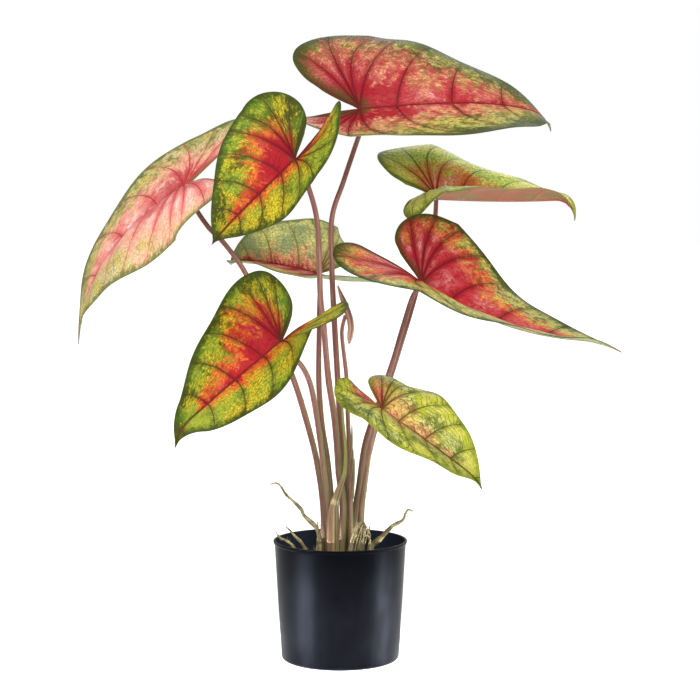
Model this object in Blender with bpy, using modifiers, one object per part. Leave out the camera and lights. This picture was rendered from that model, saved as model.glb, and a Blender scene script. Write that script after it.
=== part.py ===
"""A potted caladium: a plastic nursery pot, soil, eight arrow-shaped blades on their stalks,
a young shoot, an old leaf sheath and a few bare roots.

Metres, +Z up. The origin is the centre of the pot's underside, and the photographed front faces -Y.
"""

from collections import namedtuple
from math import cos, pi, radians, sin

import bmesh
import bpy
from mathutils import Matrix, Vector

# Pot
POT_TOP_RADIUS = 0.0638
POT_BASE_RADIUS = 0.0562
POT_HEIGHT = 0.114
POT_WALL = 0.0015
POT_FLOOR = 0.0025
POT_LIP = 0.0010
POT_LIP_HEIGHT = 0.0035
POT_LIP_SLOPE = 0.0010
POT_LIP_DRAFT = 0.0002
POT_RIM_BEVEL = 0.0007
POT_FLOOR_BEVEL = 0.0010
POT_FOOT_RADIUS = 0.0035
POT_STEPS = 48

# Soil
SOIL_EDGE_HEIGHT = 0.0880
SOIL_MOUND = 0.0030
SOIL_MOUND_SHARES = (0.0, 0.25, 0.5, 0.75, 0.94)
SOIL_BEVEL = 0.0012
CLEARANCE = 0.0003
HOLE_CLEARANCE = 0.0006
HOLE_SIDES = 12

# Vertices nearer than this are one
WELD = 0.00001

# Blade mesh: columns follow the ribs of one half, from the tip (0) round to the sinus (1). The odd
# columns lie along the veins and the even ones along the crests between them.
VEINS = 9
COLUMNS = 2 * VEINS
ROWS = 6

# Flat outline of one half of a blade, from the tip to the sinus, in blade lengths
OUTLINE = (
    (1.000, 0.000), (0.945, 0.014), (0.875, 0.055), (0.760, 0.135), (0.600, 0.235),
    (0.420, 0.335), (0.220, 0.415), (0.020, 0.455), (-0.150, 0.435), (-0.270, 0.360),
    (-0.325, 0.250), (-0.300, 0.145), (-0.215, 0.075),
)
OUTLINE_STEPS = 12
RIB_SLANT = 0.75
RIB_BOW = 0.10
LOBE_BOW_REACH = 0.30
DROOP_GROWTH = 1.4
HOOK_START = 0.78
LOBE_REACH = 0.35
LOBE_LIMIT = 1.3
LOBE_FOLD_REACH = 0.30
LOBE_FOLD_LIMIT = 1.2
CURL_WIDTH = 0.45
SPINE_STEPS = 60
NEARLY_FLAT = 0.0001

# Blade relief and thickness
QUILT_HEIGHT = 0.0011
WAVE_HEIGHT = 0.0016
WAVES = 3.5
BLADE_PHASE = 0.37
SIDE_PHASE = 0.5
TIP_FADE = 0.16
LAMINA = 0.0008
VEIN_THICKNESS = 0.0013
MIDRIB_THICKNESS = 0.0022

# Stalks and roots
SEGMENT = 0.015
LEAST_SEGMENTS = 8
CURVE_STEPS = 8
SHAPED_STEPS = 4
TUBE_ROUNDING = 2
STALK_APPROACH = 0.020
STALK_FOOT_HEIGHT = 0.074
STALK_STRAIGHT_HEIGHT = 0.095

# One blade: where its stalk joins (metres), its pose (degrees) and its form. A pair gives the left
# and the right half, seen from above with the tip pointing away. Angles are in degrees, and the
# widths and lobe lengths are shares of those of the outline.
Blade = namedtuple(
    "Blade",
    "junction heading dip roll length width lobe_length droop sway twist hook"
    " fold curl closing lobe_drop splay lobe_fold",
)

BLADES = {
    "leaf_1": Blade(
        junction=(-0.1507, 0.0296, 0.4487), heading=160, dip=30, roll=8, length=0.205,
        width=(1.08, 1.02), lobe_length=(0.91, 1.13), droop=52, sway=-3, twist=8, hook=0,
        fold=(5, 31), curl=(-62, -2), closing=(-22, 2), lobe_drop=(64, -9), splay=(4, -1),
        lobe_fold=(9, -6),
    ),
    "leaf_2": Blade(
        junction=(-0.0403, -0.0894, 0.4720), heading=189, dip=45, roll=53, length=0.111,
        width=(0.95, 1.34), lobe_length=(1.56, 0.87), droop=29, sway=-16, twist=18, hook=7,
        fold=(29, 31), curl=(0, -23), closing=(-50, 7), lobe_drop=(0, 23), splay=(-23, 1),
        lobe_fold=(10, 26),
    ),
    "leaf_3": Blade(
        junction=(0.0187, 0.0296, 0.5247), heading=-8, dip=-3, roll=-46, length=0.223,
        width=(1.32, 1.03), lobe_length=(0.72, 0.97), droop=56, sway=35, twist=0, hook=25,
        fold=(15, 7), curl=(-35, 41), closing=(-9, -9), lobe_drop=(-26, -15), splay=(-22, -2),
        lobe_fold=(2, 13),
    ),
    "leaf_4": Blade(
        junction=(0.0964, 0.1194, 0.4412), heading=3, dip=3, roll=-1, length=0.153,
        width=(1.38, 1.04), lobe_length=(0.86, 0.93), droop=-7, sway=-24, twist=10, hook=97,
        fold=(65, 27), curl=(-42, -41), closing=(-39, -6), lobe_drop=(14, 48), splay=(-20, 10),
        lobe_fold=(-2, -26),
    ),
    "leaf_5": Blade(
        junction=(0.0773, -0.0097, 0.3600), heading=-3, dip=32, roll=-23, length=0.201,
        width=(1.03, 1.04), lobe_length=(0.76, 1.12), droop=-37, sway=13, twist=10, hook=38,
        fold=(25, 27), curl=(-8, -15), closing=(-31, -1), lobe_drop=(-9, -7), splay=(1, -14),
        lobe_fold=(-6, -20),
    ),
    "leaf_6": Blade(
        junction=(-0.0230, 0.0851, 0.3657), heading=166, dip=-13, roll=67, length=0.126,
        width=(0.99, 1.17), lobe_length=(1.16, 0.89), droop=63, sway=-4, twist=4, hook=5,
        fold=(56, 20), curl=(18, -64), closing=(10, 24), lobe_drop=(32, 22), splay=(-11, 29),
        lobe_fold=(16, -18),
    ),
    "leaf_7": Blade(
        junction=(-0.0519, -0.1094, 0.3110), heading=213, dip=34, roll=14, length=0.142,
        width=(1.07, 1.09), lobe_length=(1.13, 0.80), droop=0, sway=4, twist=17, hook=49,
        fold=(24, 47), curl=(7, 48), closing=(-55, 3), lobe_drop=(0, -6), splay=(-8, -4),
        lobe_fold=(-8, -4),
    ),
    "leaf_8": Blade(
        junction=(0.0383, -0.0846, 0.2481), heading=-17, dip=34, roll=-30, length=0.119,
        width=(1.20, 1.01), lobe_length=(0.86, 1.08), droop=21, sway=16, twist=-12, hook=20,
        fold=(23, 41), curl=(-57, -31), closing=(26, -7), lobe_drop=(7, -28), splay=(6, -16),
        lobe_fold=(-10, -9),
    ),
}

# A stem: points from its foot in the soil upwards, radius at its foot and at its end. It tapers
# evenly at a taper of 1, mostly near its end at a higher one and near its foot at a lower one.
Stem = namedtuple("Stem", "route foot_radius end_radius taper", defaults=(1.0,))
ROOT_TAPER = 2.2
FLARED_TAPER = 0.5


def stalk(foot, *bends, foot_radius=0.0034, end_radius=0.0023, taper=1.0):
    """A leaf stalk that stands upright in the soil at foot and passes through the bends."""
    x, y = foot
    standing = ((x, y, STALK_FOOT_HEIGHT), (x, y, STALK_STRAIGHT_HEIGHT))
    return Stem(standing + bends, foot_radius, end_radius, taper)


STALKS = {
    "leaf_1": stalk(
        (-0.0165, 0.003), (-0.016, 0.002, 0.142), (-0.022, 0.005, 0.186), (-0.032, 0.008, 0.226),
        (-0.046, 0.012, 0.270), (-0.067, 0.017, 0.318), (-0.091, 0.022, 0.368),
        (-0.112, 0.025, 0.397), (-0.126, 0.027, 0.411),
    ),
    "leaf_2": stalk(
        (0.0000, -0.006), (0.003, -0.005, 0.143), (-0.001, -0.007, 0.179),
        (-0.005, -0.011, 0.228), (-0.011, -0.017, 0.270), (-0.015, -0.027, 0.318),
        (-0.018, -0.036, 0.347), (-0.019, -0.049, 0.385), (-0.021, -0.062, 0.420),
        (-0.028, -0.070, 0.447), foot_radius=0.0046, taper=FLARED_TAPER,
    ),
    "leaf_3": stalk(
        (0.003, 0.005), (0.006, 0.006, 0.150), (0.004, 0.008, 0.186), (0.000, 0.010, 0.226),
        (-0.003, 0.014, 0.277), (-0.006, 0.018, 0.329), (-0.008, 0.023, 0.374),
        (-0.008, 0.028, 0.420), (0.003, 0.036, 0.455), (0.014, 0.042, 0.488),
    ),
    "leaf_4": stalk(
        (0.015, 0.0115), (0.018, 0.012, 0.136), (0.027, 0.015, 0.193), (0.043, 0.026, 0.250),
        (0.066, 0.051, 0.321), (0.083, 0.081, 0.377), (0.093, 0.112, 0.408),
    ),
    "leaf_5": stalk(
        (0.0125, 0.000), (0.013, 0.000, 0.130), (0.018, 0.001, 0.166), (0.024, 0.000, 0.207),
        (0.037, 0.000, 0.246), (0.050, -0.001, 0.285), (0.059, -0.001, 0.316),
    ),
    "leaf_6": stalk(
        (-0.0065, 0.0095), (-0.008, 0.010, 0.141), (-0.012, 0.014, 0.185),
        (-0.018, 0.022, 0.224), (-0.021, 0.036, 0.264), (-0.021, 0.062, 0.311),
        (-0.021, 0.088, 0.340),
    ),
    "leaf_7": stalk(
        (-0.012, -0.0075), (-0.012, -0.008, 0.144), (-0.016, -0.018, 0.189),
        (-0.021, -0.036, 0.231), (-0.027, -0.058, 0.268), (-0.036, -0.082, 0.289),
    ),
    "leaf_8": stalk(
        (0.020, -0.009), (0.020, -0.010, 0.140), (0.023, -0.020, 0.170), (0.027, -0.040, 0.203),
        (0.030, -0.057, 0.222),
    ),
}

YOUNG_SHOOT = stalk(
    (0.0095, -0.0105), (0.010, -0.010, 0.144), (0.009, -0.010, 0.188), (0.007, -0.011, 0.238),
    (0.006, -0.011, 0.270), (0.002, -0.012, 0.306), (0.002, -0.012, 0.317),
    (0.005, -0.012, 0.329), foot_radius=0.0028, end_radius=0.0018,
)
FURLED_LEAF = (
    (-0.0022, 0.004, 0.3560), (0.0006, -0.002, 0.3480), (0.0035, -0.008, 0.3410),
    (0.0062, -0.012, 0.3340), (0.0092, -0.014, 0.3249), (0.0101, -0.014, 0.3169),
    (0.0092, -0.014, 0.3088), (0.0086, -0.014, 0.3023),
)
FURLED_LEAF_RADII = (0.0008, 0.0020, 0.0029, 0.0031, 0.0031, 0.0030, 0.0027, 0.0012)

# The dry sheath round the shoot: wide below its knuckle, and a thin green strip above
OLD_SHEATH = Stem(
    (
        (-0.0070, -0.0200, 0.0740), (-0.0070, -0.0200, 0.0950), (-0.0070, -0.0200, 0.1180),
        (-0.0068, -0.0200, 0.1360), (-0.0062, -0.0195, 0.1460), (-0.0050, -0.0190, 0.1530),
        (-0.0026, -0.0187, 0.1600), (-0.0003, -0.0185, 0.1670), (0.0030, -0.0187, 0.1760),
        (0.0048, -0.0190, 0.1850), (0.0050, -0.0180, 0.2060), (0.0030, -0.0180, 0.2300),
        (0.0020, -0.0180, 0.2480),
    ),
    0.0058,
    0.0008,
)
OLD_SHEATH_RADII = (
    0.0058, 0.0058, 0.0062, 0.0060, 0.0051, 0.0042, 0.0037, 0.0030, 0.0022, 0.0018, 0.0014,
    0.0011, 0.0008,
)

ROOTS = {
    "root_left_long": Stem(
        (
            (-0.0215, -0.0110, 0.0780), (-0.0205, -0.0115, 0.0960), (-0.0192, -0.012, 0.1130),
            (-0.0225, -0.012, 0.1270), (-0.0340, -0.012, 0.1390), (-0.0380, -0.012, 0.1465),
            (-0.0510, -0.012, 0.1590), (-0.0555, -0.012, 0.1660), (-0.0600, -0.012, 0.1700),
            (-0.0664, -0.012, 0.1688),
        ),
        0.0026,
        0.0006,
        ROOT_TAPER,
    ),
    "root_left_middle": Stem(
        (
            (-0.0255, -0.0170, 0.0800), (-0.0300, -0.0178, 0.1000), (-0.0360, -0.018, 0.1135),
            (-0.0424, -0.018, 0.1201), (-0.0472, -0.018, 0.1258), (-0.0514, -0.018, 0.1297),
        ),
        0.0024,
        0.0006,
        ROOT_TAPER,
    ),
    "root_left_front": Stem(
        (
            (-0.0330, -0.0240, 0.0790), (-0.0385, -0.0242, 0.1000), (-0.0440, -0.024, 0.1115),
            (-0.0507, -0.024, 0.1173), (-0.0575, -0.024, 0.1210), (-0.0607, -0.024, 0.1264),
        ),
        0.0021,
        0.0005,
        ROOT_TAPER,
    ),
    "root_right_long": Stem(
        (
            (0.0270, -0.0165, 0.0790), (0.0275, -0.0155, 0.0970), (0.0300, -0.014, 0.1100),
            (0.0380, -0.014, 0.1175), (0.0490, -0.014, 0.1290), (0.0590, -0.014, 0.1350),
            (0.0615, -0.014, 0.1410), (0.0645, -0.014, 0.1450), (0.0689, -0.014, 0.1435),
        ),
        0.0033,
        0.0006,
        ROOT_TAPER,
    ),
    "root_loop": Stem(
        (
            (0.0065, -0.0270, 0.0780), (0.0080, -0.0265, 0.1000), (0.0120, -0.026, 0.1200),
            (0.0158, -0.026, 0.1300), (0.0192, -0.026, 0.1345), (0.0222, -0.026, 0.1330),
            (0.0226, -0.026, 0.1270), (0.0205, -0.026, 0.1150), (0.0185, -0.026, 0.1060),
            (0.0180, -0.026, 0.0960),
        ),
        0.0025,
        0.0018,
        ROOT_TAPER,
    ),
    "root_left_hair": Stem(
        (
            (-0.0240, -0.0235, 0.0800), (-0.0225, -0.0230, 0.1000), (-0.0215, -0.022, 0.1150),
            (-0.0205, -0.022, 0.1260), (-0.0215, -0.022, 0.1350),
        ),
        0.0011,
        0.0005,
        ROOT_TAPER,
    ),
    "root_right_hair": Stem(
        (
            (0.0310, -0.0240, 0.0800), (0.0295, -0.0235, 0.1000), (0.0280, -0.023, 0.1130),
            (0.0270, -0.022, 0.1230), (0.0280, -0.022, 0.1310),
        ),
        0.0011,
        0.0005,
        ROOT_TAPER,
    ),
}

# Colours (red, green, blue, linear) and roughness
BLADE_COLOURS = {
    "leaf_1": (0.62, 0.20, 0.16), "leaf_2": (0.33, 0.34, 0.03), "leaf_3": (0.55, 0.09, 0.09),
    "leaf_4": (0.38, 0.38, 0.05), "leaf_5": (0.56, 0.10, 0.09), "leaf_6": (0.30, 0.22, 0.08),
    "leaf_7": (0.32, 0.33, 0.03), "leaf_8": (0.48, 0.42, 0.13),
}
BLADE_ROUGHNESS = 0.4
STALK_LOOK = ((0.20, 0.10, 0.07), 0.55)
SHOOT_LOOK = ((0.19, 0.11, 0.09), 0.55)
SHEATH_LOOK = ((0.36, 0.34, 0.14), 0.6)
ROOT_LOOK = ((0.42, 0.33, 0.18), 0.8)
POT_LOOK = ((0.018, 0.020, 0.026), 0.45)
SOIL_LOOK = ((0.030, 0.020, 0.014), 0.95)


# Scene helpers


def clear_scene():
    """Removes whatever the scene holds."""
    for old in list(bpy.data.objects):
        bpy.data.objects.remove(old, do_unlink=True)


def new_collection(name):
    """A collection linked to the scene."""
    collection = bpy.data.collections.new(name)
    bpy.context.scene.collection.children.link(collection)
    return collection


def new_material(name, colour, roughness):
    """A plain Principled material."""
    material = bpy.data.materials.new(name)
    material.use_nodes = True
    shader = material.node_tree.nodes["Principled BSDF"]
    shader.inputs["Base Color"].default_value = (*colour, 1.0)
    shader.inputs["Roughness"].default_value = roughness
    shader.inputs["Metallic"].default_value = 0.0
    return material


def add_object(name, data, collection, material=None):
    """An object of this data in the collection."""
    made = bpy.data.objects.new(name, data)
    collection.objects.link(made)
    if material:
        data.materials.append(material)
    return made


def smooth(mesh, sharp_angle=50):
    """Smooth shading with the sharp edges kept."""
    mesh.shade_smooth()
    mesh.set_sharp_from_angle(angle=radians(sharp_angle))


def catmull_rom(points, steps):
    """Points along the smooth curve through the given ones, with this many steps to each span."""
    knots = [Vector(point) for point in points]
    knots = [2 * knots[0] - knots[1]] + knots + [2 * knots[-1] - knots[-2]]
    curve = []
    for before, start, end, after in zip(knots, knots[1:], knots[2:], knots[3:]):
        for step in range(steps):
            t = step / steps
            curve.append(
                0.5 * (
                    2 * start
                    + (end - before) * t
                    + (2 * before - 5 * start + 4 * end - after) * t**2
                    + (3 * start - before - 3 * end + after) * t**3
                )
            )
    return curve + [knots[-2]]


def evenly(points, count):
    """Points at count equal steps of length along a polyline."""
    lengths = [0.0]
    for start, end in zip(points, points[1:]):
        lengths.append(lengths[-1] + (end - start).length)
    even = []
    span = 0
    for step in range(count + 1):
        target = lengths[-1] * step / count
        while span < len(points) - 2 and lengths[span + 1] < target:
            span += 1
        share = (target - lengths[span]) / (lengths[span + 1] - lengths[span])
        even.append(points[span].lerp(points[span + 1], min(share, 1.0)))
    return even


# Pot and soil


def turned(name, profile, collection, material):
    """A solid turned about Z from (radius, height) points, its outer side from top to bottom."""
    mesh = bpy.data.meshes.new(name)
    edges = [(i, i + 1) for i in range(len(profile) - 1)]
    mesh.from_pydata([(radius, 0, height) for radius, height in profile], edges, [])
    made = add_object(name, mesh, collection, material)
    screw = made.modifiers.new("turn", "SCREW")
    screw.steps = POT_STEPS
    screw.render_steps = POT_STEPS
    screw.use_merge_vertices = True
    screw.merge_threshold = WELD
    screw.use_smooth_shade = True
    return made


def pot_radius(height):
    """The pot's outer radius at a height."""
    return POT_BASE_RADIUS + (POT_TOP_RADIUS - POT_LIP - POT_BASE_RADIUS) * height / POT_HEIGHT


def foot_arc(radius, bend):
    """Quarter circle of this bend radius from the wall down to the underside."""
    return [
        (radius - bend + bend * cos(angle), bend - bend * sin(angle))
        for angle in (0, pi / 6, pi / 3, pi / 2)
    ]


def make_pot(collection):
    """Thin tapered wall with a small flared lip and a flat floor, open at the top."""
    lip_bottom = POT_HEIGHT - POT_LIP_HEIGHT
    profile = [
        (0, POT_FLOOR),
        (pot_radius(POT_FLOOR) - POT_WALL - POT_FLOOR_BEVEL, POT_FLOOR),
        (pot_radius(POT_FLOOR) - POT_WALL, POT_FLOOR + POT_FLOOR_BEVEL),
        (pot_radius(POT_HEIGHT) - POT_WALL, POT_HEIGHT - POT_RIM_BEVEL),
        (pot_radius(POT_HEIGHT) - POT_WALL + POT_RIM_BEVEL, POT_HEIGHT),
        (POT_TOP_RADIUS - POT_RIM_BEVEL, POT_HEIGHT),
        (POT_TOP_RADIUS, POT_HEIGHT - POT_RIM_BEVEL),
        (POT_TOP_RADIUS - POT_LIP_DRAFT, lip_bottom + POT_LIP_SLOPE),
        (pot_radius(lip_bottom), lip_bottom),
        *foot_arc(POT_BASE_RADIUS, POT_FOOT_RADIUS),
        (0, 0),
    ]
    turned("pot", profile, collection, new_material("black_plastic", *POT_LOOK))


def make_hole(index, stem, collection):
    """Cutter for the plain blind hole that a stem stands in, along the stem's first stretch."""
    foot = Vector(stem.route[0])
    along = (Vector(stem.route[1]) - foot).normalized()
    reach = (SOIL_EDGE_HEIGHT + 2 * SOIL_MOUND - foot.z) / along.z
    cutter = bmesh.new()
    radius = stem.foot_radius + HOLE_CLEARANCE
    bmesh.ops.create_cone(
        cutter, cap_ends=True, segments=HOLE_SIDES, radius1=radius, radius2=radius,
        depth=reach + 2 * HOLE_CLEARANCE,
    )
    turn = along.to_track_quat("Z", "Y").to_matrix().to_4x4()
    cutter.transform(Matrix.Translation(foot + along * reach / 2) @ turn)
    mesh = bpy.data.meshes.new(f"hole_{index}")
    cutter.to_mesh(mesh)
    cutter.free()
    made = add_object(f"hole_{index}", mesh, collection)
    made.hide_render = True
    made.display_type = "WIRE"


def make_soil(stems, collection, cutters):
    """Soil that fills the pot to below its rim, a little higher in the middle, with the holes."""
    bottom = POT_FLOOR + CLEARANCE
    inset = POT_WALL + CLEARANCE
    top_radius = pot_radius(SOIL_EDGE_HEIGHT) - inset
    mound = [
        (top_radius * share, SOIL_EDGE_HEIGHT + SOIL_MOUND * (1 - share**2))
        for share in SOIL_MOUND_SHARES
    ]
    profile = [
        *mound,
        (top_radius, SOIL_EDGE_HEIGHT - SOIL_BEVEL),
        (pot_radius(bottom) - inset, bottom + SOIL_BEVEL),
        (pot_radius(bottom) - inset - SOIL_BEVEL, bottom),
        (0, bottom),
    ]
    soil = turned("soil", profile, collection, new_material("potting_soil", *SOIL_LOOK))
    for index, stem in enumerate(stems):
        make_hole(index, stem, cutters)
    boolean = soil.modifiers.new("holes", "BOOLEAN")
    boolean.operation = "DIFFERENCE"
    boolean.solver = "EXACT"
    boolean.operand_type = "COLLECTION"
    boolean.collection = cutters


# Stems


def make_tube(name, points, radii, collection, material):
    """A round tube through the points, with a radius at each."""
    curve = bpy.data.curves.new(name, "CURVE")
    curve.dimensions = "3D"
    curve.bevel_depth = 1.0
    curve.bevel_resolution = TUBE_ROUNDING
    curve.use_fill_caps = True
    spline = curve.splines.new("POLY")
    spline.points.add(len(points) - 1)
    for knot, point, radius in zip(spline.points, points, radii):
        knot.co = (*point, 1.0)
        knot.radius = radius
    spline.use_smooth = True
    return add_object(name, curve, collection, material)


def make_stem(name, stem, collection, material):
    """A stem that tapers from its foot to its end."""
    curve = catmull_rom(stem.route, CURVE_STEPS)
    length = sum((b - a).length for a, b in zip(curve, curve[1:]))
    count = max(LEAST_SEGMENTS, round(length / SEGMENT))
    points = evenly(curve, count)
    radii = [
        stem.foot_radius + (stem.end_radius - stem.foot_radius) * (step / count) ** stem.taper
        for step in range(count + 1)
    ]
    return make_tube(name, points, radii, collection, material)


def make_shaped_tube(name, route, radii, collection, material):
    """A tube along the route, with its own radius at each of the route's points."""
    points = catmull_rom(route, SHAPED_STEPS)
    between = [knot.x for knot in catmull_rom([(radius, 0) for radius in radii], SHAPED_STEPS)]
    return make_tube(name, points, between, collection, material)


def joined_stalk(name):
    """The stalk of this blade, carried on to just under the blade."""
    below = -turn(BLADES[name].heading, BLADES[name].dip, BLADES[name].roll).col[2]
    junction = Vector(BLADES[name].junction)
    gap = MIDRIB_THICKNESS + 2 * CLEARANCE
    end = (tuple(junction + below * STALK_APPROACH), tuple(junction + below * gap))
    return STALKS[name]._replace(route=STALKS[name].route + end)


def tube_mesh(tube):
    """The closed mesh of a tube, which takes the tube's place."""
    graph = bpy.context.evaluated_depsgraph_get()
    mesh = bpy.data.meshes.new_from_object(tube.evaluated_get(graph))
    welded = bmesh.new()
    welded.from_mesh(mesh)
    bmesh.ops.remove_doubles(welded, verts=welded.verts, dist=WELD)
    welded.to_mesh(mesh)
    welded.free()
    bpy.data.objects.remove(tube, do_unlink=True)
    return mesh


def make_young_shoot(collection, cutters):
    """A thin stalk that carries a furled new leaf, which nods over and hangs down."""
    material = new_material("young_shoot", *SHOOT_LOOK)
    stalk_mesh = tube_mesh(make_stem("shoot_stalk", YOUNG_SHOOT, collection, material))
    leaf = make_shaped_tube("furled", FURLED_LEAF, FURLED_LEAF_RADII, collection, material)
    leaf_mesh = tube_mesh(leaf)
    shoot = add_object("young_shoot", stalk_mesh, collection)
    furled = add_object("furled_leaf", leaf_mesh, cutters)
    furled.hide_render = True
    furled.display_type = "WIRE"
    union = shoot.modifiers.new("furled leaf", "BOOLEAN")
    union.operation = "UNION"
    union.solver = "EXACT"
    union.object = furled


# Blades


def turn(yaw, pitch, roll):
    """Turns by degrees: to the left by yaw, nose down by pitch, right side down by roll."""
    return (
        Matrix.Rotation(radians(yaw), 3, "Z")
        @ Matrix.Rotation(radians(pitch), 3, "Y")
        @ Matrix.Rotation(radians(-roll), 3, "X")
    )


def limited(value, low, high):
    """The value kept between two limits."""
    return max(low, min(high, value))


def spine_turn(blade, x, side):
    """How the blade is turned x lengths from its junction: at x < 0 that is one side's lobe."""
    if x >= 0:
        hook = blade.hook * max(0.0, x - HOOK_START) / (1 - HOOK_START)
        return turn(blade.sway * x, blade.droop * x**DROOP_GROWTH + hook, blade.twist * x)
    share = min(-x / LOBE_REACH, LOBE_LIMIT)
    outwards = -blade.splay[side] * (1 - 2 * side)
    return turn(outwards * share, -blade.lobe_drop[side] * share, 0)


def make_spine(blade, side):
    """The midrib and the lobe's axis: (x, position, axes) at even steps of the blade's length."""
    pose = turn(blade.heading, blade.dip, blade.roll)
    step = 1 / SPINE_STEPS
    stations = {0: Vector(blade.junction)}
    for direction, count in ((1, SPINE_STEPS), (-1, SPINE_STEPS // 2)):
        for index in range(count):
            middle = direction * (index + 0.5) * step
            ahead = (pose @ spine_turn(blade, middle, side)).col[0]
            here = stations[direction * index]
            stations[direction * (index + 1)] = here + direction * step * blade.length * ahead
    return [
        (index * step, stations[index], pose @ spine_turn(blade, index * step, side))
        for index in sorted(stations)
    ]


def station(spine, x):
    """Position and axes on the spine at x, between its two nearest stations."""
    place = limited((x - spine[0][0]) * SPINE_STEPS, 0, len(spine) - 1.001)
    index = int(place)
    share = place - index
    (_, start, start_axes), (_, end, end_axes) = spine[index], spine[index + 1]
    axes = start_axes * (1 - share) + end_axes * share
    return start.lerp(end, share), axes.col[1].normalized(), axes.col[2].normalized()


def flat_point(blade, edge, side, out):
    """Where a rib's point lies on the flat blade: along its length, and out from the midrib."""
    edge_x = edge.x * (blade.lobe_length[side] if edge.x < 0 else 1)
    edge_y = edge.y * blade.width[side]
    foot = max(0.0, edge_x - RIB_SLANT * edge.y)
    bow = RIB_BOW * 4 * out * (1 - out) * limited(1 + edge_x / LOBE_BOW_REACH, 0, 1)
    x = foot + (edge_x - foot) * out - edge_y * bow
    y = edge_y * out + (edge_x - foot) * bow
    return x, y


def relief(around, out, phase):
    """Height over the plain surface: quilted between the sunken veins, waved towards the edge."""
    quilt = QUILT_HEIGHT * (0.5 + 0.5 * cos(2 * pi * VEINS * around)) * sin(pi * out)
    wave = WAVE_HEIGHT * out**3 * sin(2 * pi * (WAVES * around + phase))
    return (quilt + wave) * limited(around / TIP_FADE, 0, 1)


def blade_point(blade, spine, edge, side, around, out, phase):
    """A point of the finished blade's upper face."""
    x, y = flat_point(blade, edge, side, out)
    middle, across, up = station(spine, x)
    outwards = across * (1 - 2 * side)
    lobe = limited(-x / LOBE_FOLD_REACH, 0, LOBE_FOLD_LIMIT)
    fold = blade.fold[side] + blade.closing[side] * limited(x, 0, 1) + blade.lobe_fold[side] * lobe
    start = radians(fold)
    bend = radians(blade.curl[side]) / CURL_WIDTH
    end = start + bend * y
    if abs(bend * y) < NEARLY_FLAT:
        sideways, lift = y * cos(start), y * sin(start)
    else:
        sideways = (sin(end) - sin(start)) / bend
        lift = (cos(start) - cos(end)) / bend
    normal = up * cos(end) - outwards * sin(end)
    flat = middle + (outwards * sideways + up * lift) * blade.length
    return flat + normal * relief(around, out, phase)


def thickness(around, out, x):
    """Blade thickness: thin between the veins, thicker along them and along the midrib."""
    if out == 0:
        return VEIN_THICKNESS + (MIDRIB_THICKNESS - VEIN_THICKNESS) * (1 - limited(x, 0, 1))
    on_vein = round(around * COLUMNS) % 2
    return LAMINA + (VEIN_THICKNESS - LAMINA) * on_vein * (1 - out)


def make_blade(name, blade, number, collection):
    """One blade: a grid whose columns follow the ribs of both halves, thickened downwards."""
    mesh = bpy.data.meshes.new(f"{name}_blade")
    material = new_material(f"{name}_blade", BLADE_COLOURS[name], BLADE_ROUGHNESS)
    made = add_object(f"{name}_blade", mesh, collection, material)
    made.vertex_groups.new(name="thickness")
    spines = [make_spine(blade, side) for side in (0, 1)]
    edges = evenly(catmull_rom([(x, y, 0) for x, y in OUTLINE], OUTLINE_STEPS), COLUMNS)
    grid = bmesh.new()
    weights = grid.verts.layers.deform.verify()
    bmesh.ops.create_grid(grid, x_segments=2 * COLUMNS, y_segments=ROWS, size=1)
    for vertex in grid.verts:
        side = int(vertex.co.x > 0)
        column = round(abs(vertex.co.x) * COLUMNS)
        out = round((vertex.co.y + 1) / 2 * ROWS) / ROWS
        around = column / COLUMNS
        edge = edges[column]
        x, _ = flat_point(blade, edge, side, out)
        vertex[weights][0] = thickness(around, out, x) / MIDRIB_THICKNESS
        phase = BLADE_PHASE * number + SIDE_PHASE * side
        vertex.co = blade_point(blade, spines[side], edge, side, around, out, phase)
    bmesh.ops.remove_doubles(grid, verts=grid.verts, dist=WELD)
    bmesh.ops.triangulate(grid, faces=grid.faces)
    grid.to_mesh(mesh)
    grid.free()
    smooth(mesh)
    solid = made.modifiers.new("thickness", "SOLIDIFY")
    solid.thickness = MIDRIB_THICKNESS
    solid.offset = -1
    solid.vertex_group = "thickness"


def main():
    """Builds the potted plant."""
    clear_scene()
    plant = new_collection("potted_caladium")
    holes = new_collection("holes")
    joined = new_collection("joined_shapes")
    for helper in (holes, joined):
        helper.hide_render = True

    make_pot(plant)
    stalks = {name: joined_stalk(name) for name in BLADES}
    make_soil([*stalks.values(), YOUNG_SHOOT, OLD_SHEATH, *ROOTS.values()], plant, holes)

    stalk_material = new_material("leaf_stalk", *STALK_LOOK)
    for number, (name, blade) in enumerate(BLADES.items()):
        make_blade(name, blade, number, plant)
        make_stem(f"{name}_stalk", stalks[name], plant, stalk_material)
    make_young_shoot(plant, joined)
    sheath_material = new_material("old_sheath", *SHEATH_LOOK)
    make_shaped_tube("old_sheath", OLD_SHEATH.route, OLD_SHEATH_RADII, plant, sheath_material)
    root_material = new_material("root", *ROOT_LOOK)
    for name, root in ROOTS.items():
        make_stem(name, root, plant, root_material)


main()
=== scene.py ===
"""The look of the potted caladium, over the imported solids.

Fine blades, stalks, roots, soil and pot take the place of the plain solids, in metres and in the
same frame. A pale floor, soft studio light and a camera at the photograph's viewing angle follow.
"""

from collections import namedtuple
from math import cos, exp, hypot, pi, radians, sin
from random import Random

import bmesh
import bpy
from mathutils import Matrix, Vector, noise
from mathutils.kdtree import KDTree


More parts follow.
